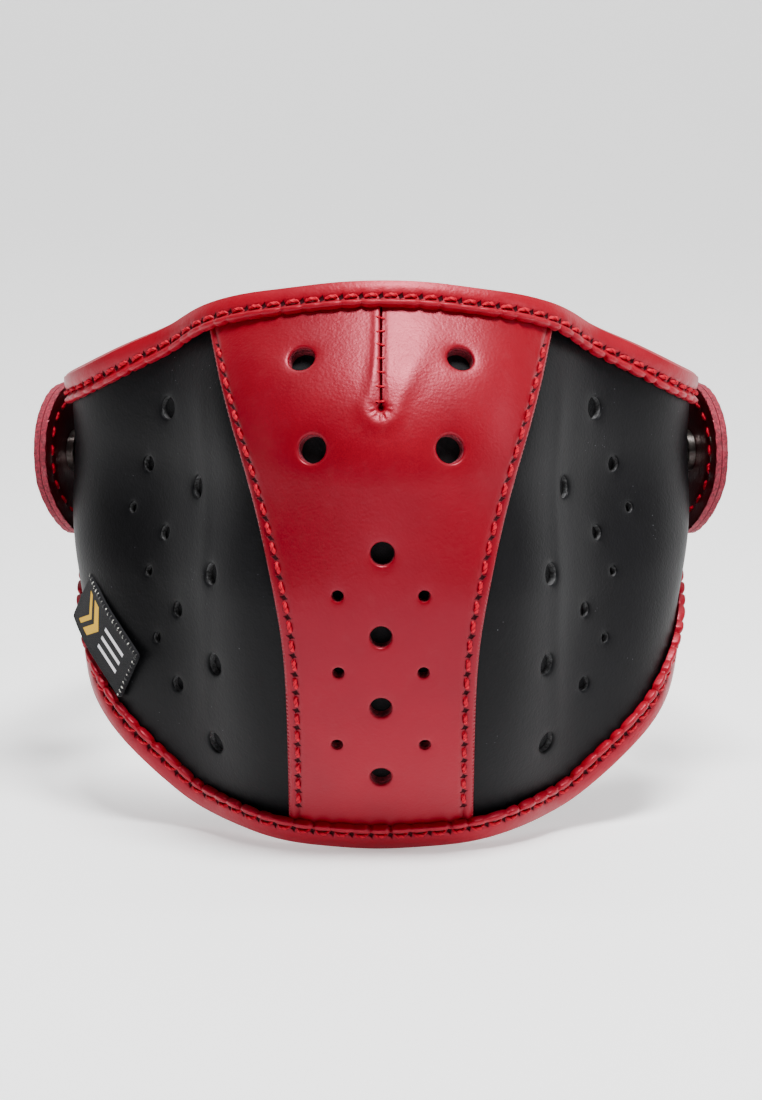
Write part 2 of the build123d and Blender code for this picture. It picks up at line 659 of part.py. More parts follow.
# ---- rear band --------------------------------------------------------------------------------
# the band leaves each tab along it and closes the loop behind the head in one round bend
band_depth = TAB_STANDOFF + TAB_PLY + PLY_GAP / 2
right_normal = shell_normal(SNAP_S, SNAP_Z)
right_flat = Vector(right_normal.X, right_normal.Y, 0).normalized()
right_rear = Vector(-right_flat.Y, right_flat.X, 0)
band_back = TAB_REAR + BAND_OUT + BAND_JOINT_GAP
band_start = shell(SNAP_S, SNAP_Z) + right_flat * band_depth + right_rear * band_back
band_radius = band_start.X / right_flat.X
band_centre_y = band_start.Y - band_radius * right_flat.Y
with BuildPart() as rear_band:
    with BuildSketch(Plane.XY.offset(SNAP_Z - BAND_WIDTH / 2)):
        with BuildLine() as band_line:
            ThreePointArc(
                (band_start.X, band_start.Y), (0, band_centre_y + band_radius), (-band_start.X, band_start.Y)
            )
            offset(amount=BAND_THICK / 2, side=Side.BOTH)
        make_face()
    extrude(amount=BAND_WIDTH)
write("rear_band", rear_band)

flex = band_start - right_rear * (BAND_JOINT_GAP / 2)
snap_y = shell(SNAP_S, SNAP_Z).Y
print(f"snap axis through X at Y {snap_y:.3f}, tab hinges at X +-{flex.X:.3f} Y {flex.Y:.3f}")
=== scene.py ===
"""Looks of a leather half-face mask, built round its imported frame.

Lengths in this file are millimetres until a mesh is made, which turns them into metres.
A place on the shell is given as on the leather pattern: s is the distance round the shell
from the centreline (positive to +X), z is the height, and depth is measured outwards along
the shell's normal from the outer face of the side panels.
"""

import math

import bpy
import numpy as np
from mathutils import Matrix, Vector
from mathutils.geometry import delaunay_2d_cdt


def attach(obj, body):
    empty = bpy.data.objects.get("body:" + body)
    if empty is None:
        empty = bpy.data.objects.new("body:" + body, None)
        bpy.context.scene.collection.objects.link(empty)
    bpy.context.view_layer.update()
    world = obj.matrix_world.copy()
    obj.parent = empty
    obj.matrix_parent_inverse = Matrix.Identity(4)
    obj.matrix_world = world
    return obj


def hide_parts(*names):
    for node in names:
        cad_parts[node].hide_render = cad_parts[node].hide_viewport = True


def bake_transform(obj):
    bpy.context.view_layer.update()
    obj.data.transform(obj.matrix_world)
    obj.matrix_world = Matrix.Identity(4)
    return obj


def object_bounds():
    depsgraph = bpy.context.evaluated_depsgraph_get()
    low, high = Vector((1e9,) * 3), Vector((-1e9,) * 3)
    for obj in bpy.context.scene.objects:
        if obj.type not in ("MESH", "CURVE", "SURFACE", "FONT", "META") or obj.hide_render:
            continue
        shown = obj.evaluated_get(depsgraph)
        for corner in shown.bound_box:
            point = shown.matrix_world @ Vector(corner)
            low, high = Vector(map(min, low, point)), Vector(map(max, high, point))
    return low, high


bl_info = {
    "name": "Leather half-face mask",
    "version": (1, 0, 0),
    "blender": (4, 5, 0),
    "location": "3D View > Sidebar > Mask",
    "description": "Builds the leather, thread, webbing and metal of a half-face mask",
    "category": "Object",
}

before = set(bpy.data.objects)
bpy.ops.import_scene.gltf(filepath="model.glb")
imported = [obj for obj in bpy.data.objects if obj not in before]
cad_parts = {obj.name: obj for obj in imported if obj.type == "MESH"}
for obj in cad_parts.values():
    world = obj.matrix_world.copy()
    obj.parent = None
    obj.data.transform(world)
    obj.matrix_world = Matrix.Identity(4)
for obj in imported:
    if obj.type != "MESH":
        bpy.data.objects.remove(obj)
CAD_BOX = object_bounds()

MM = 0.001

# ---- shell shape, as in the frame ---------------------------------------------------
FIRST_TURN = 66.0
FIRST_TURN_AT = 27.5
FIRST_TURN_WIDTH = 13.5
CHEEK_FLAT = 22.0
CHEEK_FLAT_AT = 80.5
CHEEK_FLAT_WIDTH = 17.5
LAST_TURN = 46.0
LAST_TURN_AT = 113.0
LAST_TURN_WIDTH = 11.5
NOSE_RIDGE = 14.5
NOSE_RIDGE_WIDTH = 9.0
BRIDGE_SLOPE = 0.9
BRIDGE_FROM = 4.5
BRIDGE_EASE = 26.0
CHIN_FROM = -15.5
CHIN_BEND = 0.0053

HALF_LENGTH = 142.0
TOP_EDGE = (
    (0.0, 45.2), (25.0, 42.8), (48.0, 38.3), (74.0, 31.2),
    (100.0, 22.3), (118.0, 19.0), (150.0, 19.0),
)
BOTTOM_EDGE = (
    (0.0, -78.4), (30.0, -76.0), (52.0, -72.6), (72.0, -61.6),
    (90.0, -50.2), (110.0, -36.0), (128.0, -25.5), (150.0, -19.0),
)
SEAM = (
    (-85.0, 20.6), (-44.0, 20.6), (-27.0, 21.8), (-10.0, 25.4),
    (7.0, 31.2), (23.0, 38.0), (50.0, 50.0),
)
SEAM_LAP = 7.0

SIDE_LEATHER = 1.9
CENTRE_LEATHER = 1.3
BACKING_LEATHER = 1.6
LINING = 1.1
PLY_GAP = 0.15
EDGE_GAP = 0.4
SHELL_THICK = SIDE_LEATHER + PLY_GAP + LINING

BINDING_LEATHER = 1.2
BINDING_WIDTH = 7.5
BINDING_OUT = PLY_GAP + BINDING_LEATHER
BINDING_STITCH_IN = 5.1
SEAM_STITCH_IN = 2.3

CENTRE_HOLES = ((0.3, -9.5, 5.2), (0.0, -27.8, 4.8), (0.0, -44.1, 4.8), (0.0, -61.1, 4.8))
CENTRE_PAIRS = (
    (17.4, 30.3, 5.8), (14.9, 12.5, 6.2),
    (9.3, -18.8, 2.5), (9.2, -35.9, 2.5), (9.6, -53.0, 2.5),
)
SIDE_HOLES = (
    (66.9, 16.8, 5.2), (54.2, 0.5, 5.0), (44.8, -17.3, 5.1), (43.0, -37.9, 5.0), (43.1, -57.3, 4.9),
    (75.1, 3.2, 3.6), (67.4, -11.3, 3.5), (59.8, -27.8, 3.4), (57.6, -45.1, 3.4),
    (79.7, -7.1, 2.5), (71.5, -20.5, 2.4), (66.0, -35.2, 2.4),
)
DART_POINT_Z = 21.0
DART_PITCH = 3.6

LABEL_LENGTH = 28.0
LABEL_WIDTH = 14.0
LABEL_THICK = 0.8
LABEL_AT = (-80.6, -39.84)
LABEL_STANDOFF = 0.3
LABEL_FRONT = 9.5
LABEL_TILT = 35.0

SNAP_S = 126.0
SNAP_HOLE_R = 1.75
TAB_STANDOFF = 3.6
TAB_HEIGHT = 35.0
TAB_REAR = 42.0
TAB_PLY = 1.55
TAB_STITCH_IN = 4.3
TAB_REAR_CORNER = 3.0
BAND_WIDTH = 30.0
BAND_THICK = 1.3
BAND_POCKET = 13.0
BAND_OUT = 3.5
BAND_JOINT_GAP = 1.6

# ---- how finely the pieces are made, and small working sizes -------------------------------
CENTRE_SPACING = 0.95      # between the points of the centre panel
SIDE_SPACING = 1.15
HIDDEN_SPACING = 2.0       # for the pieces inside
DART_SPACING = 0.27
STATION_SPACING = 0.42     # between two sections of a binding
KEEP_OFF = 0.55            # share of a spacing kept free round rings and rows
RING_STEPS = (0.0, 0.12, 0.35, 0.75, 1.4, 2.2)  # rings round a punched hole
AWL_HOLE = 1.2
THREAD_GAP = 0.5           # from the middle of an awl hole to the end of a stitch
SEAM_THREAD_GAP = 0.55
DART_THREAD = 0.5          # thickness of the dart's thread, as a share of the other threads
DART_STITCH_REACH = 1.35   # from the slit to the end of a cross stitch
TAB_HANG = 0.16            # share by which a tab's lower edge hangs lower
TAB_DRAWN_IN = 2.6         # how far that edge comes in to the shell
OVERLOCK_PITCH = 1.25
OVERLOCK_THREAD = 0.38

SIDES = (("left", -1), ("right", 1))


# ---- what a user would change --------------------------------------------------------
def colour_property(name, default, description):
    """A colour of the panel, in linear light."""
    return bpy.props.FloatVectorProperty(
        name=name, description=description, default=default, size=3, min=0.0, max=1.0, subtype="COLOR"
    )


def length_property(name, default, description):
    """A small length of the panel, in millimetres."""
    return bpy.props.FloatProperty(
        name=name, description=description, default=default, min=0.0, precision=2)


class MaskColours(bpy.types.PropertyGroup):
    """Colours of the mask's materials."""

    red_leather: colour_property("Red leather", (0.165, 0.0, 0.006), "Centre panel, bindings and tabs")
    red_flesh: colour_property("Cut red edge", (0.30, 0.012, 0.034), "Raw edge of the red leather")
    black_leather: colour_property("Black leather", (0.0036, 0.0036, 0.0042), "Side panels")
    red_thread: colour_property("Red thread", (0.42, 0.0, 0.016), "All the seams")
    lining: colour_property("Lining", (0.004, 0.004, 0.0045), "Brushed cloth inside")
    elastic: colour_property("Elastic", (0.006, 0.006, 0.0065), "Rear band")
    label_ground: colour_property("Label ground", (0.005, 0.005, 0.006), "Woven label")
    label_motif: colour_property("Label motif", (0.85, 0.50, 0.03), "Chevron on the label")
    label_bars: colour_property("Label bars", (0.95, 0.93, 0.98), "Bars on the label")
    metal: colour_property("Snap metal", (0.30, 0.28, 0.26), "Snap fasteners")


class MaskSizes(bpy.types.PropertyGroup):
    """Sizes of the finishing work, in millimetres."""

    thread: length_property("Thread", 1.05, "Thickness of the sewing thread")
    pitch: length_property("Stitch pitch", 4.4, "From one awl hole to the next")
    binding_puff: length_property("Binding puff", 0.34, "How far the binding swells between two stitches")
    edge_round: length_property("Edge round", 0.35, "Rounding of a cut leather edge")
    hole_dimple: length_property("Hole dimple", 0.28, "How far a punched hole draws its rim in")
    grain: length_property("Grain", 0.10, "Depth of the leather grain")


# ---- curves and turns -----------------------------------------------------------------
def through(points, x):
    """Cubic through a few points with eased slopes: level at the first point, chord slopes elsewhere."""
    xs, ys = np.array(points, float).T
    slopes = np.zeros(len(xs))
    slopes[1:-1] = (ys[2:] - ys[:-2]) / (xs[2:] - xs[:-2])
    slopes[-1] = (ys[-1] - ys[-2]) / (xs[-1] - xs[-2])
    x = np.asarray(x, float)
    k = np.clip(np.searchsorted(xs, x, side="left") - 1, 0, len(xs) - 2)
    span = xs[k + 1] - xs[k]
    t = (x - xs[k]) / span
    rest = (1 + 2 * t) * (1 - t) ** 2 * ys[k] + t * t * (3 - 2 * t) * ys[k + 1]
    return rest + t * (1 - t) ** 2 * span * slopes[k] - t * t * (1 - t) * span * slopes[k + 1]


def eased(x, start, stop):
    """0 before start, 1 after stop, 3t^2 - 2t^3 between them."""
    t = np.clip((x - start) / (stop - start), 0.0, 1.0)
    return t * t * (3 - 2 * t)


def turned(x):
    """Half of one plus the hyperbolic tangent of x: the share of a turn that is done."""
    return 0.5 * (1 + np.tanh(x))


def bell(x, width):
    """exp(-(x / width)^2)."""
    return np.exp(-((x / width) ** 2))


def unit(v):
    """Each vector divided by its length."""
    return v / np.linalg.norm(v, axis=-1, keepdims=True)


def top_edge(s):
    """Height of the top edge of the leather."""
    return through(TOP_EDGE, np.abs(s))


def bottom_edge(s):
    """Height of the bottom edge of the leather."""
    return through(BOTTOM_EDGE, np.abs(s))


def seam(z):
    """Distance of a seam from the centreline at a height."""
    return through(SEAM, z)


# ---- the shell -------------------------------------------------------------------------
def shell_angle(s, z):
    """Degrees between shell and X axis seen from above.

    Two tanh turns and a small ridge along the nose, less a bell over the cheek.
    """
    low = eased(-z, 2.5, 57.5)
    first_at = FIRST_TURN_AT + 3.0 * eased(z, -7.5, 37.5)
    angle = FIRST_TURN * (turned((s - first_at) / FIRST_TURN_WIDTH) - turned(-first_at / FIRST_TURN_WIDTH))
    ridge = NOSE_RIDGE * eased(z, -22.5, 7.5)
    angle = angle + ridge * np.tanh(s / NOSE_RIDGE_WIDTH) * bell(s, 3 * NOSE_RIDGE_WIDTH)
    angle = angle - CHEEK_FLAT * bell(s - CHEEK_FLAT_AT + 17.0 * low, CHEEK_FLAT_WIDTH)
    return angle + LAST_TURN * turned((s - LAST_TURN_AT + 17.0 * low) / LAST_TURN_WIDTH)


def plan(s, z):
    """X and Y after s along the shell at height z: the running sum of cosines and sines of its angle."""
    steps = 48
    length = np.abs(s) / steps
    x = np.zeros_like(length)
    y = np.zeros_like(length)
    for i in range(steps):
        angle = np.radians(shell_angle((i + 0.5) * length, z))
        x += length * np.cos(angle)
        y += length * np.sin(angle)
    return np.copysign(x, s), y


def setback(s, z):
    """How far bridge and chin lean back: a parabola that runs on straight, fading towards the rear."""
    up = np.maximum(z - BRIDGE_FROM, 0.0)
    down = np.maximum(CHIN_FROM - z, 0.0)
    bridge = BRIDGE_SLOPE * np.where(up < BRIDGE_EASE, up * up / (2 * BRIDGE_EASE), up - BRIDGE_EASE / 2)
    return (bridge + CHIN_BEND * down * down) * (1 - 0.85 * eased(np.abs(s), 30.0, 110.0))


SNAP_AT = (np.array([SNAP_S]), np.array([0.0]))
FRONT_Y = float(-plan(*SNAP_AT)[1][0] - setback(*SNAP_AT)[0])


def shell(s, z):
    """Points on the outer face of the side panels, one row each."""
    s, z = np.broadcast_arrays(np.asarray(s, float), np.asarray(z, float))
    x, y = plan(s, z)
    return np.stack([x, FRONT_Y + y + setback(s, z), z], -1)


def shell_normal(s, z):
    """Outward normals: the cross product of the steps along s and along z."""
    step = 0.05
    s = np.asarray(s, float)
    z = np.asarray(z, float)
    across = shell(s + step, z) - shell(s - step, z)
    up = shell(s, z + step) - shell(s, z - step)
    return unit(np.cross(across, up))


def on_shell(s, z, depth):
    """Shell point plus depth times its normal."""
    return shell(s, z) + shell_normal(s, z) * np.asarray(depth, float)[..., None]


def centre_lift(s, z):
    """How far the centre panel raises the binding that lies over it, easing off across its edge."""
    return (CENTRE_LEATHER + PLY_GAP) * (1 - eased(np.abs(s) - seam(z), -5.0, 24.0))


def snap_frame(side):
    """Snap centre and the directions rearwards, up and outwards of the tab that lies on it."""
    centre = shell(np.array([side * SNAP_S]), np.array([0.0]))[0]
    outward = shell_normal(np.array([side * SNAP_S]), np.array([0.0]))[0]
    outward = unit(np.array([outward[0], outward[1], 0.0]))
    rearward = np.array([-outward[1], outward[0], 0.0]) * side
    return centre, rearward, np.array([0.0, 0.0, 1.0]), outward


# ---- meshes ------------------------------------------------------------------------------
def make_piece(name, points, faces, finishes, uv=None, finish_of=None, crease=35.0):
    """Mesh object from points in millimetres, with smooth faces and sharp edges above an angle."""
    mesh = bpy.data.meshes.new(name)
    mesh.from_pydata((np.asarray(points) * MM).tolist(), [], [list(f) for f in faces])
    for finish in finishes:
        mesh.materials.append(finish)
    if finish_of is not None:
        mesh.polygons.foreach_set("material_index", np.asarray(finish_of, np.int32))
    if uv is not None:
        corner = np.zeros(len(mesh.loops), np.int32)
        mesh.loops.foreach_get("vertex_index", corner)
        for layer_name, values in uv.items():
            layer = mesh.uv_layers.new(name=layer_name)
            layer.data.foreach_set("uv", np.asarray(values, np.float32)[corner].ravel())
    mesh.polygons.foreach_set("use_smooth", np.ones(len(mesh.polygons), bool))
    mesh.set_sharp_from_angle(angle=math.radians(crease))
    mesh.validate()
    mesh.update()
    piece = bpy.data.objects.new(name, mesh)
    bpy.context.scene.collection.objects.link(piece)
    return piece


def settle(piece, body, slot, *nodes):
    """Let a piece ride on its body and stand for its nodes; its slot is not used."""
    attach(piece, body)
    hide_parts(*nodes)
    return piece


def inside(points, loop):
    """Even-odd test of points against a closed loop."""
    x, y = points[:, 0], points[:, 1]
    hit = np.zeros(len(points), bool)
    for (ax, ay), (bx, by) in zip(loop, np.roll(loop, -1, axis=0)):
        if ay == by:
            continue
        crosses = ((ay > y) != (by > y)) & (x < (bx - ax) * (y - ay) / (by - ay) + ax)
        hit ^= crosses
    return hit


def nearest(points, marks):
    """Distance from each point to its nearest mark."""
    best = np.full(len(points), np.inf)
    for start in range(0, len(marks), 64):
        gap = points[:, None, :] - marks[None, start:start + 64, :]
        best = np.minimum(best, np.sqrt((gap**2).sum(-1)).min(1))
    return best


def resample(line, spacing):
    """Points evenly along an open line of points."""
    steps = np.linalg.norm(np.diff(line, axis=0), axis=1)
    run = np.concatenate([[0.0], np.cumsum(steps)])
    count = max(int(round(run[-1] / spacing)), 2)
    at = np.linspace(0.0, run[-1], count + 1)
    return np.stack([np.interp(at, run, line[:, i]) for i in range(line.shape[1])], 1)


def lattice(loop, spacing, offset=0.0):
    """Staggered rows of points over a loop's box, every other row shifted by half a step."""
    low = loop.min(0)
    high = loop.max(0)
    rows = np.arange(low[1] + offset, high[1], spacing * 0.866)
    columns = np.arange(low[0] + offset, high[0], spacing)
    x, y = np.meshgrid(columns, rows)
    x = x + 0.5 * spacing * (np.arange(len(rows)) % 2)[:, None]
    return np.stack([x.ravel(), y.ravel()], 1)


def triangulated(outline, holes, extra, spacing, keep_off):
    """Triangles over an outline with holes.

    Constrained Delaunay over the rings, the extra points and a staggered lattice between them.
    """
    rings = [outline] + [ring for hole in holes for ring in hole]
    borders = np.concatenate(rings + extra)
    fill = lattice(outline, spacing)
    fill = fill[inside(fill, outline)]
    for hole in holes:
        fill = fill[~inside(fill, hole[-1])]
    fill = fill[nearest(fill, borders) > keep_off * spacing]
    points = np.concatenate([borders, fill])
    edges = []
    start = 0
    for ring in rings:
        count = len(ring)
        edges += [(start + i, start + (i + 1) % count) for i in range(count)]
        start += count
    found = delaunay_2d_cdt([Vector(p) for p in points], edges, [], 0, 1e-6)
    flat = np.array([tuple(v) for v in found[0]])
    faces = np.array([f for f in found[2] if len(f) == 3])
    middle = flat[faces].mean(1)
    keep = inside(middle, outline)
    for hole in holes:
        keep &= ~inside(middle, hole[0])
    faces = faces[keep]
    a, b, c = (flat[faces[:, i]] for i in range(3))
    turn = (b - a)[:, 0] * (c - a)[:, 1] - (b - a)[:, 1] * (c - a)[:, 0]
    faces[turn < 0] = faces[turn < 0][:, ::-1]
    return flat, faces


def slab(flat, faces, place, outer, inner, wall_rows=3):
    """Closed slab: the triangles at two depths, and walls of a few rows along every open edge."""
    count = len(flat)
    used = np.unique(faces)
    remap = np.full(count, -1)
    remap[used] = np.arange(len(used))
    flat = flat[used]
    faces = remap[faces]
    outer = outer[used]
    inner = inner[used]
    count = len(flat)
    pairs = np.concatenate([faces[:, [0, 1]], faces[:, [1, 2]], faces[:, [2, 0]]])
    keys = {tuple(p) for p in pairs.tolist()}
    border = np.array([p for p in pairs.tolist() if (p[1], p[0]) not in keys])
    rim = np.unique(border)
    rim_index = np.full(count, -1)
    rim_index[rim] = np.arange(len(rim))
    sheets = [place(flat, outer), place(flat, inner)]
    uvs = [flat, flat]
    for row in range(1, wall_rows):
        share = row / wall_rows
        depth = outer[rim] * (1 - share) + inner[rim] * share
        sheets.append(place(flat[rim], depth))
        uvs.append(flat[rim])
    base = 2 * count
    all_faces = faces.tolist() + (faces[:, ::-1] + count).tolist()
    finish_of = [0] * (2 * len(faces))
    a, b = border.T
    upper = (a, b)
    for row in range(1, wall_rows + 1):
        if row < wall_rows:
            lower = (base + rim_index[a], base + rim_index[b])
            base += len(rim)
        else:
            lower = (a + count, b + count)
        walls = np.stack([upper[0], lower[0], lower[1], upper[1]], 1)
        all_faces += walls.tolist()
        finish_of += [1] * len(walls)
        upper = lower
    return np.concatenate(sheets), all_faces, np.concatenate(uvs), finish_of


def rounded_drop(distance, radius):
    """How far a surface falls at a distance from its cut edge, for a quarter-round of that radius."""
    t = np.clip(1 - distance / radius, 0.0, 1.0)
    return radius * (1 - np.sqrt(np.maximum(1 - t * t, 0.0)))


def shell_metric(s, z):
    """Steps in s and z for unit steps along and across the shell's surface."""
    h = 0.05
    ahead, behind = shell(np.array([s + h]), np.array([z])), shell(np.array([s - h]), np.array([z]))
    above, below = shell(np.array([s]), np.array([z + h])), shell(np.array([s]), np.array([z - h]))
    along = (ahead - behind)[0] / (2 * h)
    up = (above - below)[0] / (2 * h)
    e1 = unit(along)
    e2 = unit(up - e1 * (up @ e1))
    basis = np.array([[along @ e1, up @ e1], [along @ e2, up @ e2]])
    return np.linalg.inv(basis)


def hole_rings(s, z, diameter, growth):
    """Circles round a punched hole on the pattern, the first on its wall and the rest outside it."""
    count = int(np.clip(diameter * 7, 20, 40))
    turn = np.linspace(0, 2 * np.pi, count, endpoint=False)
    inverse = shell_metric(s, z)
    rings = []
    for grow in growth:
        radius = diameter / 2 + grow
        circle = np.stack([np.cos(turn) * radius, np.sin(turn) * radius])
        rings.append((inverse @ circle).T + np.array([s, z]))
    return rings


def panel_outline(inner, outer, spacing):
    """Closed outline on the pattern between two lines of s and the two edges, going round leftwards."""
    def corner(line, edge):
        """Where a line of s meets an edge."""
        s = float(line(0.0))
        for _ in range(20):
            s = float(line(float(edge(s))))
        return s

    low_in, low_out = corner(inner, bottom_edge), corner(outer, bottom_edge)
    top_in, top_out = corner(inner, top_edge), corner(outer, top_edge)
    run = np.linspace(low_in, low_out, 300)
    bottom = np.stack([run, bottom_edge(run)], 1)
    run = np.linspace(float(bottom_edge(low_out)), float(top_edge(top_out)), 300)
    rear = np.stack([np.array([float(outer(z)) for z in run]), run], 1)
    run = np.linspace(top_out, top_in, 300)
    top = np.stack([run, top_edge(run)], 1)
    run = np.linspace(float(top_edge(top_in)), float(bottom_edge(low_in)), 300)
    front = np.stack([np.array([float(inner(z)) for z in run]), run], 1)
    sides = [resample(line, spacing)[:-1] for line in (bottom, rear, top, front)]
    loop = np.concatenate(sides)
    area = 0.5 * np.sum(loop[:, 0] * np.roll(loop[:, 1], -1) - np.roll(loop[:, 0], -1) * loop[:, 1])
    return loop if area > 0 else loop[::-1]


def shell_place(points, depth):
    """Pattern points laid on the shell."""
    return on_shell(points[:, 0], points[:, 1], depth)


def sweep(origin, out, into, profile_x, profile_y):
    """Rings of a tube: each station's profile laid on its own two directions."""
    sideways = out[:, None, :] * profile_x[..., None]
    inwards = into[:, None, :] * profile_y[..., None]
    return origin[:, None, :] + sideways + inwards


def tube_faces(stations, around, first=0, capped=True):
    """Quads of a closed tube, with its two ends closed by fans of the end rings."""
    i, j = np.meshgrid(np.arange(stations - 1), np.arange(around), indexing="ij")
    k = (j + 1) % around
    quads = np.stack([i * around + j, (i + 1) * around + j, (i + 1) * around + k, i * around + k], -1)
    faces = (quads.reshape(-1, 4) + first).tolist()
    if capped:
        faces.append((np.arange(around) + first).tolist())
        faces.append((np.arange(around)[::-1] + first + (stations - 1) * around).tolist())
    return faces


# ---- stitch lines --------------------------------------------------------------------------
class Line:
    """A line of points with outward directions, measured along its length."""

    def __init__(self, points, outward):
        steps = np.linalg.norm(np.diff(points, axis=0), axis=1)
        self.run = np.concatenate([[0.0], np.cumsum(steps)])
        self.points = points
        self.outward = outward

    def at(self, distance):
        """Point, direction along and outward direction at distances from the start."""
        def look(table):
            """Each column of a table at the distances."""
            return np.stack([np.interp(distance.ravel(), self.run, table[:, i]) for i in range(3)], -1)

        shape = distance.shape + (3,)
        h = 0.15
        here = look(self.points).reshape(shape)
        ahead = np.stack([np.interp(distance + h, self.run, self.points[:, i]) for i in range(3)], -1)
        behind = np.stack([np.interp(distance - h, self.run, self.points[:, i]) for i in range(3)], -1)
        return here, unit(ahead - behind), unit(look(self.outward).reshape(shape))

    def holes(self, pitch):
        """Distances of the awl holes, a pitch apart and centred on the line."""
        count = int(self.run[-1] / pitch)
        first = (self.run[-1] - count * pitch) / 2
        return first + pitch * np.arange(count + 1)


def thread_piece(name, runs, thread, finish, slant=0.0, sunk=0.12):
    """Two-ply thread: each stitch is a small bowed tube that dips at both ends.

    Its two lobes turn along it, and slant sets it askew to the run.
    """
    rings, around = 7, 8
    t = np.linspace(0, 1, rings)
    turn = np.linspace(0, 2 * np.pi, around, endpoint=False)
    points = []
    faces = []
    uvs = []
    base = 0
    for line, starts, stops in runs:
        length = (stops - starts)[:, None]
        distance = starts[:, None] + length * t[None, :]
        here, along, out = line.at(distance)
        side = unit(np.cross(out, along))
        bow = 1 - np.abs(2 * t - 1) ** 3
        taper = 0.42 + 0.58 * np.sqrt(np.maximum(1 - np.abs(2 * t - 1) ** 5, 0.0))
        jitter = np.sin(np.arange(len(starts)) * 2.3)[:, None] * 0.05 * thread
        height = thread * (0.5 - sunk) - thread * 0.95 * (1 - bow)[None, :]
        across = slant * (t - 0.5)[None, :] * thread + jitter
        centre = here + out * height[..., None] + side * across[..., None]
        twist = 2 * np.pi * 1.4 * t[None, :, None] + np.arange(len(starts))[:, None, None] * 0.9
        lobe = 0.80 + 0.20 * np.cos(2 * (turn[None, None, :] - twist))
        radius = thread / 2 * taper[None, :, None] * lobe
        ring = centre[:, :, None, :] + radius[..., None] * (
            side[:, :, None, :] * np.cos(turn)[None, None, :, None] * 1.12
            + out[:, :, None, :] * np.sin(turn)[None, None, :, None] * 0.88
        )
        count = len(starts)
        points.append(ring.reshape(-1, 3))
        lengthwise = np.broadcast_to(t[None, :, None], (count, rings, around)) * length[:, :, None]
        round_it = np.broadcast_to(turn[None, None, :], (count, rings, around)) / (2 * np.pi)
        uvs.append(np.stack([lengthwise, round_it], -1).reshape(-1, 2))
        single = tube_faces(rings, around)
        for n in range(count):
            offset = base + n * rings * around
            faces += [[v + offset for v in f] for f in single]
        base += count * rings * around
    layers = {"thread": np.concatenate(uvs)}
    return make_piece(name, np.concatenate(points), faces, [finish], layers, crease=80.0)


# ---- shader nodes ----------------------------------------------------------------------------
class Socket:
    """A number on a node's output, for sums written as Python expressions."""

    def __init__(self, finish, link):
        self.finish = finish
        self.link = link

    def _math(self, operation, *others):
        """A math node on this number."""
        return self.finish.number("ShaderNodeMath", {"operation": operation}, [self, *others])

    def __add__(self, other):
        return self._math("ADD", other)

    def __radd__(self, other):
        return self._math("ADD", other)

    def __sub__(self, other):
        return self._math("SUBTRACT", other)

    def __rsub__(self, other):
        return self.finish.number("ShaderNodeMath", {"operation": "SUBTRACT"}, [other, self])

    def __mul__(self, other):
        return self._math("MULTIPLY", other)

    def __rmul__(self, other):
        return self._math("MULTIPLY", other)

    def __truediv__(self, other):
        return self._math("DIVIDE", other)

    def fract(self):
        """Its fractional part."""
        return self._math("FRACT")

    def abs(self):
        """Its size without sign."""
        return self._math("ABSOLUTE")

    def sin(self):
        """Its sine, in radians."""
        return self._math("SINE")

    def power(self, other):
        """It raised to a power."""
        return self._math("POWER", other)

    def most(self, other):
        """The larger of the two."""
        return self._math("MAXIMUM", other)

    def smooth(self, low, high):
        """0 below low, 1 above high, eased between; low above high turns it round."""
        settings = {"interpolation_type": "SMOOTHSTEP"}
        inputs = {"Value": self, "From Min": min(low, high), "From Max": max(low, high)}
        inputs.update({"To Min": 0.0, "To Max": 1.0} if low < high else {"To Min": 1.0, "To Max": 0.0})
        return self.finish.number("ShaderNodeMapRange", settings, inputs)


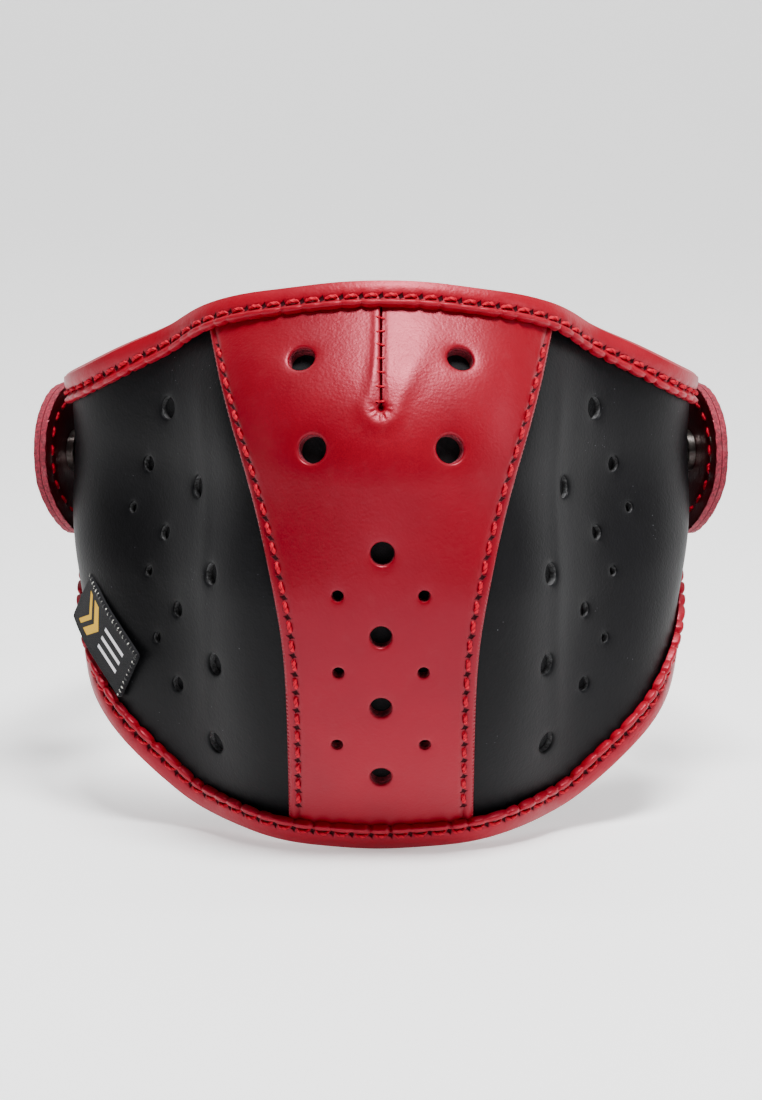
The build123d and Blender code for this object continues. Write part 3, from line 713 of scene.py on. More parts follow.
class Finish:
    """One node material: a Principled surface and what feeds it."""

    def __init__(self, name, **surface):
        self.material = bpy.data.materials.new(name)
        self.material.use_nodes = True
        self.tree = self.material.node_tree
        self.tree.nodes.clear()
        output = self.tree.nodes.new("ShaderNodeOutputMaterial")
        self.surface = self.tree.nodes.new("ShaderNodeBsdfPrincipled")
        self.tree.links.new(self.surface.outputs[0], output.inputs["Surface"])
        for socket_name, value in surface.items():
            self.surface.inputs[socket_name.replace("_", " ")].default_value = value

    def node(self, kind, settings=None, inputs=None):
        """Any node: its settings first, then its sockets by name or by order."""
        made = self.tree.nodes.new(kind)
        for key, value in (settings or {}).items():
            setattr(made, key, value)
        items = inputs.items() if isinstance(inputs, dict) else enumerate(inputs or [])
        for key, value in items:
            socket = made.inputs[key]
            if isinstance(value, Socket):
                self.tree.links.new(value.link, socket)
            else:
                socket.default_value = value
        return made

    def number(self, kind, settings=None, inputs=None, output=0):
        """A new node's first output as a number."""
        return Socket(self, self.node(kind, settings, inputs).outputs[output])

    def place(self):
        """Object coordinates, in metres."""
        return self.number("ShaderNodeTexCoord", output="Object")

    def uv(self, layer):
        """The two numbers of a UV map."""
        along_piece = self.number("ShaderNodeUVMap", {"uv_map": layer})
        split = self.node("ShaderNodeSeparateXYZ", inputs=[along_piece])
        return Socket(self, split.outputs[0]), Socket(self, split.outputs[1])

    def noise(self, vector, scale, detail=2.0, roughness=0.5, distortion=0.0):
        """Fractal noise over a place."""
        inputs = {"Vector": vector, "Scale": scale, "Detail": detail}
        inputs.update({"Roughness": roughness, "Distortion": distortion})
        return self.number("ShaderNodeTexNoise", {"noise_dimensions": "3D"}, inputs)

    def cells(self, vector, scale, feature="F1", output=0):
        """Voronoi cells over a place."""
        inputs = {"Vector": vector, "Scale": scale}
        return self.number("ShaderNodeTexVoronoi", {"feature": feature}, inputs, output)

    def mix(self, factor, a, b):
        """Colour mix; a and b are colours or sockets."""
        mixer = self.tree.nodes.new("ShaderNodeMix")
        mixer.data_type = "RGBA"
        for index, value in ((0, factor), (6, a), (7, b)):
            if isinstance(value, Socket):
                self.tree.links.new(value.link, mixer.inputs[index])
            else:
                mixer.inputs[index].default_value = value if index == 0 else (*value[:3], 1.0)
        return Socket(self, mixer.outputs[2])

    def feed(self, socket_name, value):
        """Link or set one input of the surface."""
        self.tree.links.new(value.link, self.surface.inputs[socket_name])

    def relief(self, height, distance_mm, strength=1.0, under=None):
        """Bump of a height from 0 to 1 that stands for a depth in millimetres."""
        inputs = {"Strength": strength, "Distance": distance_mm * MM, "Height": height}
        if under is not None:
            inputs["Normal"] = under
        return self.number("ShaderNodeBump", {}, inputs)


def shade(colour, factor):
    """A colour with each channel multiplied by a factor."""
    return tuple(min(c * factor, 1.0) for c in colour)


def leather_grain(finish, depth_mm):
    """Fine pebbles broken by pores and a few long creases, as one bump."""
    place = finish.place()
    pebbles = finish.cells(place, 1700.0, "SMOOTH_F1")
    pores = finish.cells(place, 900.0, "F1").smooth(0.0, 0.16)
    creases = finish.noise(place, 650.0, 3.0, 0.6, 0.15)
    height = pebbles * 0.35 + creases * 0.50 + pores * 0.15
    return finish.relief(height, depth_mm, 0.9)


def awl_holes(u, v, pitch, line, size):
    """Mask of star-shaped awl holes, which are painted dark as shade: how far a point is inside the hole
    nearest to it on the stitch line.
    """
    along = ((u / pitch + 0.5).fract() - 0.5) * pitch
    across = v - line
    slanted = (along + across * 0.35).abs() / (size * 0.62)
    wide = (across - along * 0.35).abs() / (size * 0.85)
    return (slanted.power(0.8) + wide.power(0.8)).smooth(1.15, 0.75)


def red_leather(name, colours, sizes, stitched=None, darted=False, tone_scale=1.0):
    """Smooth dyed leather with a soft shine, paler where it is worn.

    Its stitch groove, awl holes and dart pit are darkened as painted shade, its dart's slit as a joint,
    and a tone scale below 1 paints a shaded copy of it.
    """
    finish = Finish(name, Roughness=0.36, Specular_IOR_Level=0.66, Specular_Tint=(1.0, 0.22, 0.30, 1.0))
    place = finish.place()
    blotch = finish.noise(place, 26.0, 3.0, 0.55)
    fine = finish.noise(place, 260.0, 4.0, 0.6)
    # The tone scale multiplies the leather's colour; the tabs' inner ply takes it low, as painted shade.
    colour = shade(colours.red_leather, tone_scale)
    base = finish.mix(blotch.smooth(0.3, 0.7), shade(colour, 0.84), shade(colour, 1.10))
    worn = tuple(c * 0.85 + 0.02 * tone_scale for c in colour)
    base = finish.mix((fine.smooth(0.52, 0.8)) * 0.16, base, worn)
    rough = 0.28 + blotch * 0.10 + fine * 0.10
    bump = leather_grain(finish, sizes.grain)
    if stitched is not None:
        layer, pitch, line = stitched
        u, v = finish.uv(layer)
        # Painted shade: the stitch groove is darkened.
        painted_groove_shade = (v - line).abs().smooth(1.1, 0.3)
        base = finish.mix(painted_groove_shade * 0.3, base, shade(colour, 0.42))
        # Awl holes painted near-black: painted shade inside the holes.
        hole = awl_holes(u, v, pitch, line, AWL_HOLE)
        base = finish.mix(hole, base, (0.006, 0.0, 0.0005))
        rough = rough + hole * 0.6
        bump = finish.relief(1 - hole, 0.5, 1.0, bump)
    if darted:
        s, height = finish.uv("dart")
        # The dart's slit is darkened as its joint; its pit is darkened as painted shade.
        slit = s.abs().smooth(0.20, 0.06) * height.smooth(-0.4, 0.4)
        pit = (s * s + height * height).smooth(0.7, 0.05)
        base = finish.mix(slit.most(pit) * 0.92, base, (0.016, 0.0, 0.001))
    finish.feed("Base Color", base)
    finish.feed("Roughness", rough)
    finish.feed("Normal", bump)
    return finish.material


def black_leather(colours, sizes):
    """Black leather: nearly even colour, a dull shine, and pale dots in its pores that are partly dust and
    partly painted glints.
    """
    finish = Finish("black_leather", Roughness=0.42, Specular_IOR_Level=0.08)
    place = finish.place()
    blotch = finish.noise(place, 30.0, 3.0, 0.55)
    darker, lighter = (shade(colours.black_leather, factor) for factor in (0.75, 1.25))
    base = finish.mix(blotch.smooth(0.3, 0.7), darker, lighter)
    # Pale dots in the pores: partly dust, partly painted glints.
    pores = finish.cells(place, 620.0, "F1").smooth(0.10, 0.02)
    dust_and_glints = pores * finish.noise(place, 90.0, 2.0).smooth(0.56, 0.7)
    base = finish.mix(dust_and_glints * 0.7, base, (0.20, 0.20, 0.22))
    finish.feed("Base Color", base)
    finish.feed("Roughness", 0.40 + blotch * 0.12)
    finish.feed("Normal", leather_grain(finish, sizes.grain * 1.1))
    return finish.material


def cut_edge(name, colour, dark):
    """Raw cut edge of leather: matted fibres along the cut."""
    finish = Finish(name, Roughness=0.85)
    place = finish.place()
    fibres = finish.noise(place, 1500.0, 4.0, 0.7)
    layers = finish.noise(place, 500.0, 2.0, 0.6)
    base = finish.mix(fibres.smooth(0.35, 0.7), dark, colour)
    base = finish.mix(layers.smooth(0.55, 0.75) * 0.4, base, tuple(c * 0.9 + 0.05 for c in colour))
    finish.feed("Base Color", base)
    finish.feed("Normal", finish.relief(fibres, 0.22, 0.9))
    return finish.material


def lining_cloth(colours):
    """Brushed lining: short tangled nap."""
    finish = Finish(
        "lining_cloth", Roughness=0.95, Specular_IOR_Level=0.1, Sheen_Weight=0.08, Sheen_Roughness=0.5)
    place = finish.place()
    nap = finish.noise(place, 1300.0, 5.0, 0.75, 0.8)
    patches = finish.noise(place, 120.0, 2.0, 0.5)
    darker, lighter = (shade(colours.lining, factor) for factor in (0.5, 3.2))
    finish.feed("Base Color", finish.mix(nap * 0.6 + patches * 0.4, darker, lighter))
    finish.feed("Normal", finish.relief(nap, 0.30, 0.8))
    return finish.material


def red_thread(colours):
    """Waxed two-ply thread: its plies show as slanting stripes along each stitch, darkened between them as
    painted shade.
    """
    finish = Finish("red_thread", Roughness=0.6, Specular_IOR_Level=0.12)
    u, v = finish.uv("thread")
    ply = ((u * 0.75 - v * 2.0).fract() - 0.5).abs() * 2
    place = finish.place()
    fuzz = finish.noise(place, 3000.0, 3.0, 0.6)
    # Dark stripes between the plies: painted shade in the grooves between them.
    base = finish.mix(ply.smooth(0.0, 0.3), shade(colours.red_thread, 0.25), colours.red_thread)
    worn = tuple(c * 0.8 + 0.12 for c in colours.red_thread)
    base = finish.mix(fuzz.smooth(0.65, 0.85) * 0.12, base, worn)
    finish.feed("Base Color", base)
    finish.feed("Normal", finish.relief(ply * 0.8 + fuzz * 0.2, 0.16, 0.9))
    return finish.material


def elastic_webbing(colours):
    """Woven elastic: fine ribs across the band and thicker cords near its edges."""
    finish = Finish("elastic_webbing", Roughness=0.8, Specular_IOR_Level=0.15, Sheen_Weight=0.04)
    u, v = finish.uv("weave")
    ribs = ((u / 0.9).fract() - 0.5).abs() * 2
    cords = ((v / 1.5 + (u / 1.8).fract().smooth(0.49, 0.51) * 0.5).fract() - 0.5).abs() * 2
    weave = ribs * 0.5 + cords * 0.5
    fuzz = finish.noise(finish.place(), 1800.0, 3.0, 0.6)
    darker, lighter = (shade(colours.elastic, factor) for factor in (0.4, 2.6))
    finish.feed("Base Color", finish.mix(weave * 0.7 + fuzz * 0.3, darker, lighter))
    finish.feed("Normal", finish.relief(weave, 0.28, 0.9))
    return finish.material


def label_cloth(colours):
    """Woven label: twill ground, a gold double chevron near its rear end and pale bars near its front."""
    finish = Finish("label_cloth", Roughness=0.75, Specular_IOR_Level=0.15, Sheen_Weight=0.03)
    u, v = finish.uv("label")
    threads = ((v / 0.34).fract() - 0.5).abs() * 2
    twill = (((u + v) / 0.5).fract() - 0.5).abs() * 2
    weave = threads * 0.6 + twill * 0.4
    base = finish.mix(weave, shade(colours.label_ground, 0.5), shade(colours.label_ground, 2.2))
    middle = LABEL_WIDTH / 2
    slope = (v - middle).abs() * 0.75
    chevron = (u - slope - 16.6).abs().smooth(1.35, 1.2).most((u - slope - 20.2).abs().smooth(0.85, 0.7))
    chevron = chevron * (v - middle).abs().smooth(4.6, 4.4)
    base = finish.mix(chevron * (0.6 + 0.4 * threads), base, colours.label_motif)
    across_bars = ((v - middle) / 2.6 + 0.5).fract()
    bars = across_bars.smooth(0.30, 0.34) * across_bars.smooth(0.7, 0.66)
    bars = bars * (u - 9.0).abs().smooth(4.6, 4.4) * (v - middle).abs().smooth(3.9, 3.7)
    base = finish.mix(bars * (0.6 + 0.4 * threads), base, colours.label_bars)
    finish.feed("Base Color", base)
    finish.feed("Normal", finish.relief(weave * 0.7 + chevron * 0.3, 0.14, 0.9))
    return finish.material


def pale_thread():
    """Overlock thread of the label, black with a pale fleck."""
    finish = Finish("overlock_thread", Roughness=0.7)
    fleck = finish.noise(finish.place(), 900.0, 2.0).smooth(0.5, 0.62)
    finish.feed("Base Color", finish.mix(fleck, (0.03, 0.03, 0.03), (0.62, 0.62, 0.56)))
    return finish.material


def snap_metal(colours):
    """Dark nickel, turned and a little scratched."""
    finish = Finish("snap_metal", Metallic=1.0, Roughness=0.28)
    place = finish.place()
    wear = finish.noise(place, 500.0, 3.0, 0.6)
    darker, lighter = (shade(colours.metal, factor) for factor in (0.8, 1.2))
    finish.feed("Base Color", finish.mix(wear.smooth(0.4, 0.7), darker, lighter))
    finish.feed("Roughness", 0.2 + wear * 0.22)
    finish.feed("Normal", finish.relief(finish.noise(place, 2500.0, 2.0), 0.02, 0.5))
    return finish.material


FINISHES = {}


def finishes():
    """The materials, made once."""
    if not FINISHES:
        scene = bpy.context.scene
        colours, sizes = scene.mask_colours, scene.mask_sizes
        FINISHES["red"] = red_leather("red_leather", colours, sizes)
        FINISHES["red_seamed"] = red_leather(
            "red_leather_seamed", colours, sizes, ("seam", sizes.pitch, SEAM_STITCH_IN), darted=True)
        on_binding = ("seam", sizes.pitch, BINDING_STITCH_IN - BINDING_OUT)
        on_tab = ("seam", sizes.pitch, TAB_STITCH_IN)
        FINISHES["red_bound"] = red_leather(
            "red_leather_bound", colours, sizes, on_binding, tone_scale=1.4)
        FINISHES["red_tab"] = red_leather("red_leather_tab", colours, sizes, on_tab)
        # The inner ply is the same red darkened to 0.16: painted shade for the tab's shadowed inner face.
        FINISHES["painted_shade_tab"] = red_leather(
            "red_leather_tab_inside_painted_shade", colours, sizes, on_tab, tone_scale=0.16)
        FINISHES["black"] = black_leather(colours, sizes)
        FINISHES["red_edge"] = cut_edge("cut_edge_red", colours.red_flesh, shade(colours.red_flesh, 0.3))
        FINISHES["black_edge"] = cut_edge("cut_edge_black", (0.085, 0.085, 0.088), (0.012, 0.012, 0.012))
        FINISHES["lining"] = lining_cloth(colours)
        FINISHES["thread"] = red_thread(colours)
        FINISHES["elastic"] = elastic_webbing(colours)
        FINISHES["label"] = label_cloth(colours)
        FINISHES["overlock"] = pale_thread()
        FINISHES["metal"] = snap_metal(colours)
    return FINISHES


# ---- pieces of the shell ------------------------------------------------------------------------
def seam_line(side):
    """Stitch line down one seam of the centre panel, from bottom to top binding."""
    low = float(bottom_edge(20.6)) + BINDING_WIDTH - 0.8
    high = float(top_edge(seam(np.array(35.0)))) - BINDING_WIDTH + 1.2
    z = np.linspace(low, high, 600)
    s = side * (seam(z) - SEAM_STITCH_IN)
    return Line(on_shell(s, z, np.full_like(z, CENTRE_LEATHER + PLY_GAP - 0.25)), shell_normal(s, z)), z


def dart_relief(s, z):
    """Relief of the dart: a slit, a close roll on its left, a roll that leans away on its right,
    and a U-shaped crest that joins them below the point, round a puckered pit.
    """
    height = z - DART_POINT_Z
    above = np.maximum(height, 0.0)
    started = eased(height, -2.0, 2.5)
    fade = 1 - eased(height, 7.0, 21.0)
    slit = -1.00 * bell(s, 0.17) * eased(height, -0.4, 1.0) - 0.16 * bell(s - 0.4, 0.7) * started
    left_at = 0.95 + 2.35 * np.exp(-above / 4.5)
    left_roll = 0.30 * bell(s + left_at, 0.55 + 0.35 * left_at) * started * (0.6 + 0.4 * fade)
    right_at = np.minimum(3.3 + 0.42 * above, 10.0)
    right_width = np.minimum(1.7 + 0.22 * above, 4.6)
    right_roll = 0.34 * bell(s - right_at, right_width) * started * (0.35 + 0.65 * fade)
    from_point = np.hypot(s, height)
    angle = np.arctan2(s, -height)
    crest = 0.46 * bell(from_point - 3.4, 1.7) * (1 - started)
    pit = -1.15 * bell(from_point, 0.75)
    wrinkled = bell(from_point - 1.6, 0.9) * (0.2 + 0.8 * eased(-height, -1.0, 1.5))
    puckers = 0.08 * (np.cos(9 * angle + 0.4) + 0.6 * np.sin(14 * angle + 1.0)) * wrinkled
    return slit + left_roll + right_roll + crest + pit + puckers


def hole_dimples(points, holes, sizes):
    """Soft dimple round each hole: a bell of the distance from its rim."""
    depth = np.zeros(len(points))
    for s, z, diameter in holes:
        inverse = np.linalg.inv(shell_metric(s, z))
        off = (points - np.array([s, z])) @ inverse.T
        rim = np.maximum(np.hypot(off[:, 0], off[:, 1]) - diameter / 2, 0.0)
        depth -= sizes.hole_dimple * (diameter / 5.0) ** 0.6 * np.exp(-rim / 0.9)
        depth -= rounded_drop(rim, 0.30 + 0.02 * diameter)
    return depth


def leather_swell(s, z, amount):
    """Gentle unevenness of hand-moulded leather: a few long waves."""
    return amount * (
        np.sin(s / 9.3 + 1.3 * np.sin(z / 17.0)) * np.sin(z / 12.1 + 0.6)
        + 0.5 * np.sin(s / 5.1 + z / 7.7)
    )


def fold_relief(s, z):
    """Soft upright fold of the side leather where it turns to the cheek: a bell about a leaning line."""
    line = 47.0 + 3.0 * eased(z, -40.0, 20.0)
    span = eased(z, -66.0, -40.0) * (1 - eased(z, 12.0, 30.0))
    strength = np.where(s < 0, 0.3, 0.5)
    away = np.abs(s) - line
    return (0.48 * bell(away, 2.8) - 0.22 * bell(away - 6.5, 4.0)) * span * strength


def all_holes(side_holes):
    """The holes of one half and their mirror images."""
    return [(side * s, z, d) for s, z, d in side_holes for _, side in SIDES]


def panel_rings(holes, growth=RING_STEPS):
    """Rings round each hole of a panel."""
    return [hole_rings(s, z, d, growth) for s, z, d in holes]


class MASK_OT_centre_panel(bpy.types.Operator):
    """Red centre panel with its dart, punched holes, raised cut edge and backing"""

    bl_idname = "mask.centre_panel"
    bl_label = "Centre panel"

    def execute(self, context):
        made = finishes()
        sizes = context.scene.mask_sizes
        holes = list(CENTRE_HOLES) + all_holes(CENTRE_PAIRS)
        outline = panel_outline(lambda z: -seam(z), lambda z: seam(z), 0.9)
        edge_rows = []
        for inset in (0.12, 0.3, 0.6, 1.1, 1.7, 2.3, 2.9):
            z = np.arange(-77.5, 44.0, 0.9)
            for side in (-1, 1):
                row = np.stack([side * (seam(z) - inset), z], 1)
                room = (z < top_edge(row[:, 0]) - 0.5) & (z > bottom_edge(row[:, 0]) + 0.5)
                edge_rows.append(row[room])
        dart = lattice(np.array([[-2.4, DART_POINT_Z - 4.5], [2.4, 44.0]]), DART_SPACING)
        dart = dart[dart[:, 1] < 44.0]
        height = np.arange(DART_POINT_Z - 0.2, 44.0, 0.30)
        slit_rows = (-0.32, -0.14, 0.0, 0.14, 0.32)
        slit = np.concatenate([np.stack([np.full_like(height, at), height], 1) for at in slit_rows])
        dart = dart[(np.abs(dart[:, 0]) > 0.5) | (dart[:, 1] < DART_POINT_Z - 0.4)]
        rings = panel_rings(holes)
        flat, faces = triangulated(outline, rings, edge_rows + [dart, slit], CENTRE_SPACING, KEEP_OFF)
        s, z = flat.T
        to_edge = seam(z) - np.abs(s)
        depth = np.full(len(flat), CENTRE_LEATHER + PLY_GAP)
        depth += dart_relief(s, z) + leather_swell(s, z, 0.05) + hole_dimples(flat, holes, sizes)
        depth -= rounded_drop(to_edge, sizes.edge_round)
        depth -= 0.30 * bell(to_edge - SEAM_STITCH_IN, 0.55)
        depth += 0.10 * bell(to_edge - 1.1, 0.6) + 0.08 * bell(to_edge - 3.6, 0.8)
        inner = np.minimum(np.full(len(flat), PLY_GAP), depth - 0.25)
        points, all_faces, uv, finish_of = slab(flat, faces, shell_place, depth, inner, 4)
        line, line_z = seam_line(1)
        along = np.interp(uv[:, 1], line_z, line.run) - line.holes(sizes.pitch)[0]
        seam_uv = np.stack([along, seam(uv[:, 1]) - np.abs(uv[:, 0])], 1)
        piece = make_piece("red_centre_panel", points, all_faces, [made["red_seamed"], made["red_edge"]],
                           {"seam": seam_uv, "dart": uv - np.array([0.0, DART_POINT_Z])}, finish_of)
        settle(piece, "mask", "red_leather", "centre_panel")

        lap = SEAM_LAP + EDGE_GAP
        outline = panel_outline(lambda z: lap - seam(z), lambda z: seam(z) - lap, 1.6)
        rings = panel_rings(holes, growth=(0.0, 0.5, 1.4))
        flat, faces = triangulated(outline, rings, [], HIDDEN_SPACING, KEEP_OFF)
        s, z = flat.T
        outer = np.full(len(flat), -PLY_GAP) + np.minimum(dart_relief(s, z), 0.0) * 0.6
        points, all_faces, uv, finish_of = slab(
            flat, faces, shell_place, outer, np.full(len(flat), -PLY_GAP - BACKING_LEATHER), 4)
        piece = make_piece("centre_panel_backing", points, all_faces, [made["red_edge"], made["red_edge"]],
                           None, finish_of)
        settle(piece, "mask", "red_leather", "centre_backing")
        return {"FINISHED"}


class MASK_OT_side_panels(bpy.types.Operator):
    """Black side panels with punched and dimpled holes"""

    bl_idname = "mask.side_panels"
    bl_label = "Side panels"

    def execute(self, context):
        made = finishes()
        sizes = context.scene.mask_sizes
        for name, side in SIDES:
            holes = [(side * s, z, d) for s, z, d in SIDE_HOLES]
            snap = [(side * SNAP_S, 0.0, 2 * SNAP_HOLE_R)]
            outline = panel_outline(
                lambda z: side * (seam(z) - SEAM_LAP), lambda z: side * HALF_LENGTH, 1.2)
            rings = panel_rings(holes + snap)
            flat, faces = triangulated(outline, rings, [], SIDE_SPACING, KEEP_OFF)
            s, z = flat.T
            over_seam = np.abs(s) - seam(z)
            depth = leather_swell(s + 40.0 * (side < 0), z, 0.07) + fold_relief(s, z)
            depth = depth * eased(over_seam, 0.5, 6.0) + hole_dimples(flat, holes, sizes)
            depth = np.where(np.abs(s) > SNAP_S - 7.0, np.minimum(depth, 0.0), depth)
            points, all_faces, _, finish_of = slab(
                flat, faces, shell_place, depth, np.full(len(flat), -SIDE_LEATHER), 4)
            piece = make_piece(f"black_side_panel_{name}", points, all_faces,
                               [made["black"], made["black_edge"]], None, finish_of)
            settle(piece, "mask", "black_leather", f"{name}_side_panel")
        return {"FINISHED"}


class MASK_OT_linings(bpy.types.Operator):
    """Brushed cloth linings inside the shell, whole behind the air holes"""

    bl_idname = "mask.linings"
    bl_label = "Linings"

    def execute(self, context):
        made = finishes()
        lap = SEAM_LAP + EDGE_GAP
        jobs = [("centre", [], lambda z: lap - seam(z), lambda z: seam(z) - lap)]
        for name, side in SIDES:
            jobs.append((name, [(side * SNAP_S, 0.0, 2 * SNAP_HOLE_R)],
                         lambda z, side=side: side * (seam(z) - SEAM_LAP),
                         lambda z, side=side: side * HALF_LENGTH))
        for name, holes, inner, outer in jobs:
            rings = panel_rings(holes, growth=(0.0, 0.5, 1.4))
            outline = panel_outline(inner, outer, 1.8)
            flat, faces = triangulated(outline, rings, [], HIDDEN_SPACING, KEEP_OFF)
            top = np.full(len(flat), -SIDE_LEATHER - PLY_GAP)
            points, all_faces, _, finish_of = slab(flat, faces, shell_place, top, top - LINING, 2)
            piece = make_piece(f"brushed_lining_{name}", points, all_faces,
                               [made["lining"], made["lining"]], None, finish_of)
            settle(piece, "mask", "black_lining", f"{name}_lining")
        return {"FINISHED"}


# ---- bindings --------------------------------------------------------------------------------------
def edge_directions(s, edge, into):
    """Points of an edge with outward, inward-to-the-shell and along directions."""
    z = edge(s)
    h = 0.2
    along = unit(shell(s + h, edge(s + h)) - shell(s - h, edge(s - h)))
    outward = shell_normal(s, z)
    inwards = unit(np.cross(along, outward))
    flip = np.where(inwards[:, 2] * into < 0, -1.0, 1.0)[:, None]
    return shell(s, z), outward, inwards * flip


def binding_profile(lift, phase, sizes, wander, strength):
    """Section of the folded strip as rows of depth and reach, swelling between the awl holes.

    phase runs from 0 at one hole to 1 at the next.  The line through the stitches is drawn down,
    the lip is a small bead nicked at each hole, and the fold stays round.  wander is a slow
    unevenness in depth, and strength says how hard the stitches pull.
    """
    outside = BINDING_OUT + lift
    inner = np.full_like(lift, -SHELL_THICK - BINDING_OUT)
    lip = BINDING_WIDTH - BINDING_OUT
    half = (outside - inner) / 2
    crown = (outside + inner) / 2
    at_hole = bell(np.mod(phase + 0.5, 1.0) - 0.5, 0.17)
    whole = np.round(phase)
    tug = (0.60 + 0.40 * np.sin(whole * 1.7 + 1.0)) * strength
    pull = bell(phase - whole - 0.12 * np.sin(whole * 2.4), 0.12) * tug
    swell = np.sin(np.pi * np.mod(phase, 1.0)) ** 0.8
    stitch = BINDING_STITCH_IN - BINDING_OUT
    xs = []
    ys = []

    def outer_leaf(y):
        """Depth of the outer leaf at a reach: flat, drawn down along the stitches, plump elsewhere."""
        nearness = np.clip(1.1 - 0.55 * np.abs(y - stitch), 0.0, 1.0)
        drawn = 0.40 * bell(y - stitch, 0.62) + at_hole * 0.16 * nearness
        drawn = drawn + pull * 0.42 * bell(y - lip, 1.3)
        puff = sizes.binding_puff * strength * (swell - 0.35) * bell(y - stitch - 1.5, 0.9)
        roll = 0.50 * bell(y - lip + 0.7, 0.6) - 0.20 * bell(y - lip + 1.6, 0.5)
        roll = roll + 0.35 * bell(y - 0.2, 1.6) + 0.22 * bell(y - 1.8, 1.3)
        return outside - drawn + puff + roll + wander

    lip_out = lip - 0.75 * pull + 0.20 * swell * strength
    # fold, from the middle of the edge to the outer leaf
    for angle in np.linspace(0, 90, 9)[:-1]:
        a = math.radians(angle)
        xs.append(crown + half * math.sin(a) + wander * math.sin(a))
        ys.append(np.full_like(lift, -BINDING_OUT * math.cos(a)))
    reach = np.concatenate([np.linspace(0.0, stitch - 1.1, 4), np.linspace(stitch - 0.8, stitch + 0.8, 9),
                            np.linspace(stitch + 1.2, lip - 0.5, 9)])
    free = stitch + 1
    for y in reach:
        stretched = y if y < free else free + (y - free) * (lip_out - free) / (lip - free)
        xs.append(outer_leaf(y))
        ys.append(stretched + np.zeros_like(lift))
    # rounded lip and its cut edge
    for angle in (20, 45, 70, 90):
        a = math.radians(angle)
        xs.append(outer_leaf(lip - 0.5) - 0.5 * (1 - math.cos(a)))
        ys.append(lip_out - 0.5 + 0.5 * math.sin(a))
    xs.append(outside - 0.75 * BINDING_LEATHER + 0 * lift)
    ys.append(lip_out + 0.02)
    xs.append(outside - BINDING_LEATHER)
    ys.append(lip_out - 0.05)
    # hidden faces between the leaves
    xs.append(outside - BINDING_LEATHER)
    ys.append(np.full_like(lift, -PLY_GAP))
    xs.append(inner + BINDING_LEATHER)
    ys.append(np.full_like(lift, -PLY_GAP))
    # inner leaf, plainer than the outer one
    xs.append(inner + BINDING_LEATHER)
    ys.append(np.full_like(lift, lip - 0.05))
    for angle in (90, 60, 30, 0):
        a = math.radians(angle)
        xs.append(inner + 0.45 * (1 - math.sin(math.pi / 2 - a)) + 0 * lift)
        ys.append(np.full_like(lift, lip - 0.45 + 0.45 * math.sin(a)))
    for y in (lip - 1.2, stitch + 1.0, stitch + 0.4, stitch, stitch - 0.4, stitch - 1.0, 0.6, 0.0):
        xs.append(inner + 0.28 * bell(y - stitch, 0.6) + at_hole * 0.12 * bell(y - stitch, 0.9))
        ys.append(np.full_like(lift, y))
    for angle in np.linspace(-90, 0, 9)[1:-1]:
        a = math.radians(angle)
        xs.append(crown + half * math.sin(a))
        ys.append(np.full_like(lift, -BINDING_OUT * math.cos(a)))
    return np.stack(xs, 1), np.stack(ys, 1)


def binding_piece(name, origin, outward, inwards, lift, sizes, made, strength=1.0):
    """Binding along stations of an edge, and the stitch line that runs on it."""
    stitch = BINDING_STITCH_IN - BINDING_OUT
    on_line = origin + outward * (BINDING_OUT + lift - 0.24)[:, None] + inwards * stitch
    line = Line(on_line, outward)
    first = line.holes(sizes.pitch)[0]
    phase = (line.run - first) / sizes.pitch
    wander = 0.06 * np.sin(line.run / 7.1) + 0.05 * np.sin(line.run / 3.3 + 1.0)
    xs, ys = binding_profile(lift, phase, sizes, wander, strength)
    points = sweep(origin, outward, inwards, xs, ys)
    stations, around = xs.shape
    u = np.broadcast_to((line.run - first)[:, None], xs.shape)
    faces = tube_faces(stations, around)
    uv = np.stack([u, ys], -1).reshape(-1, 2)
    flat_points = points.reshape(-1, 3)
    a, b, c = (flat_points[faces[len(faces) // 2][i]] for i in range(3))
    middle = flat_points.reshape(stations, around, 3)[stations // 2].mean(0)
    if np.dot(np.cross(b - a, c - b), (a + b + c) / 3 - middle) < 0:
        faces = [f[::-1] for f in faces]
    piece = make_piece(name, flat_points, faces, [made["red_bound"]], {"seam": uv}, crease=50.0)
    return piece, line


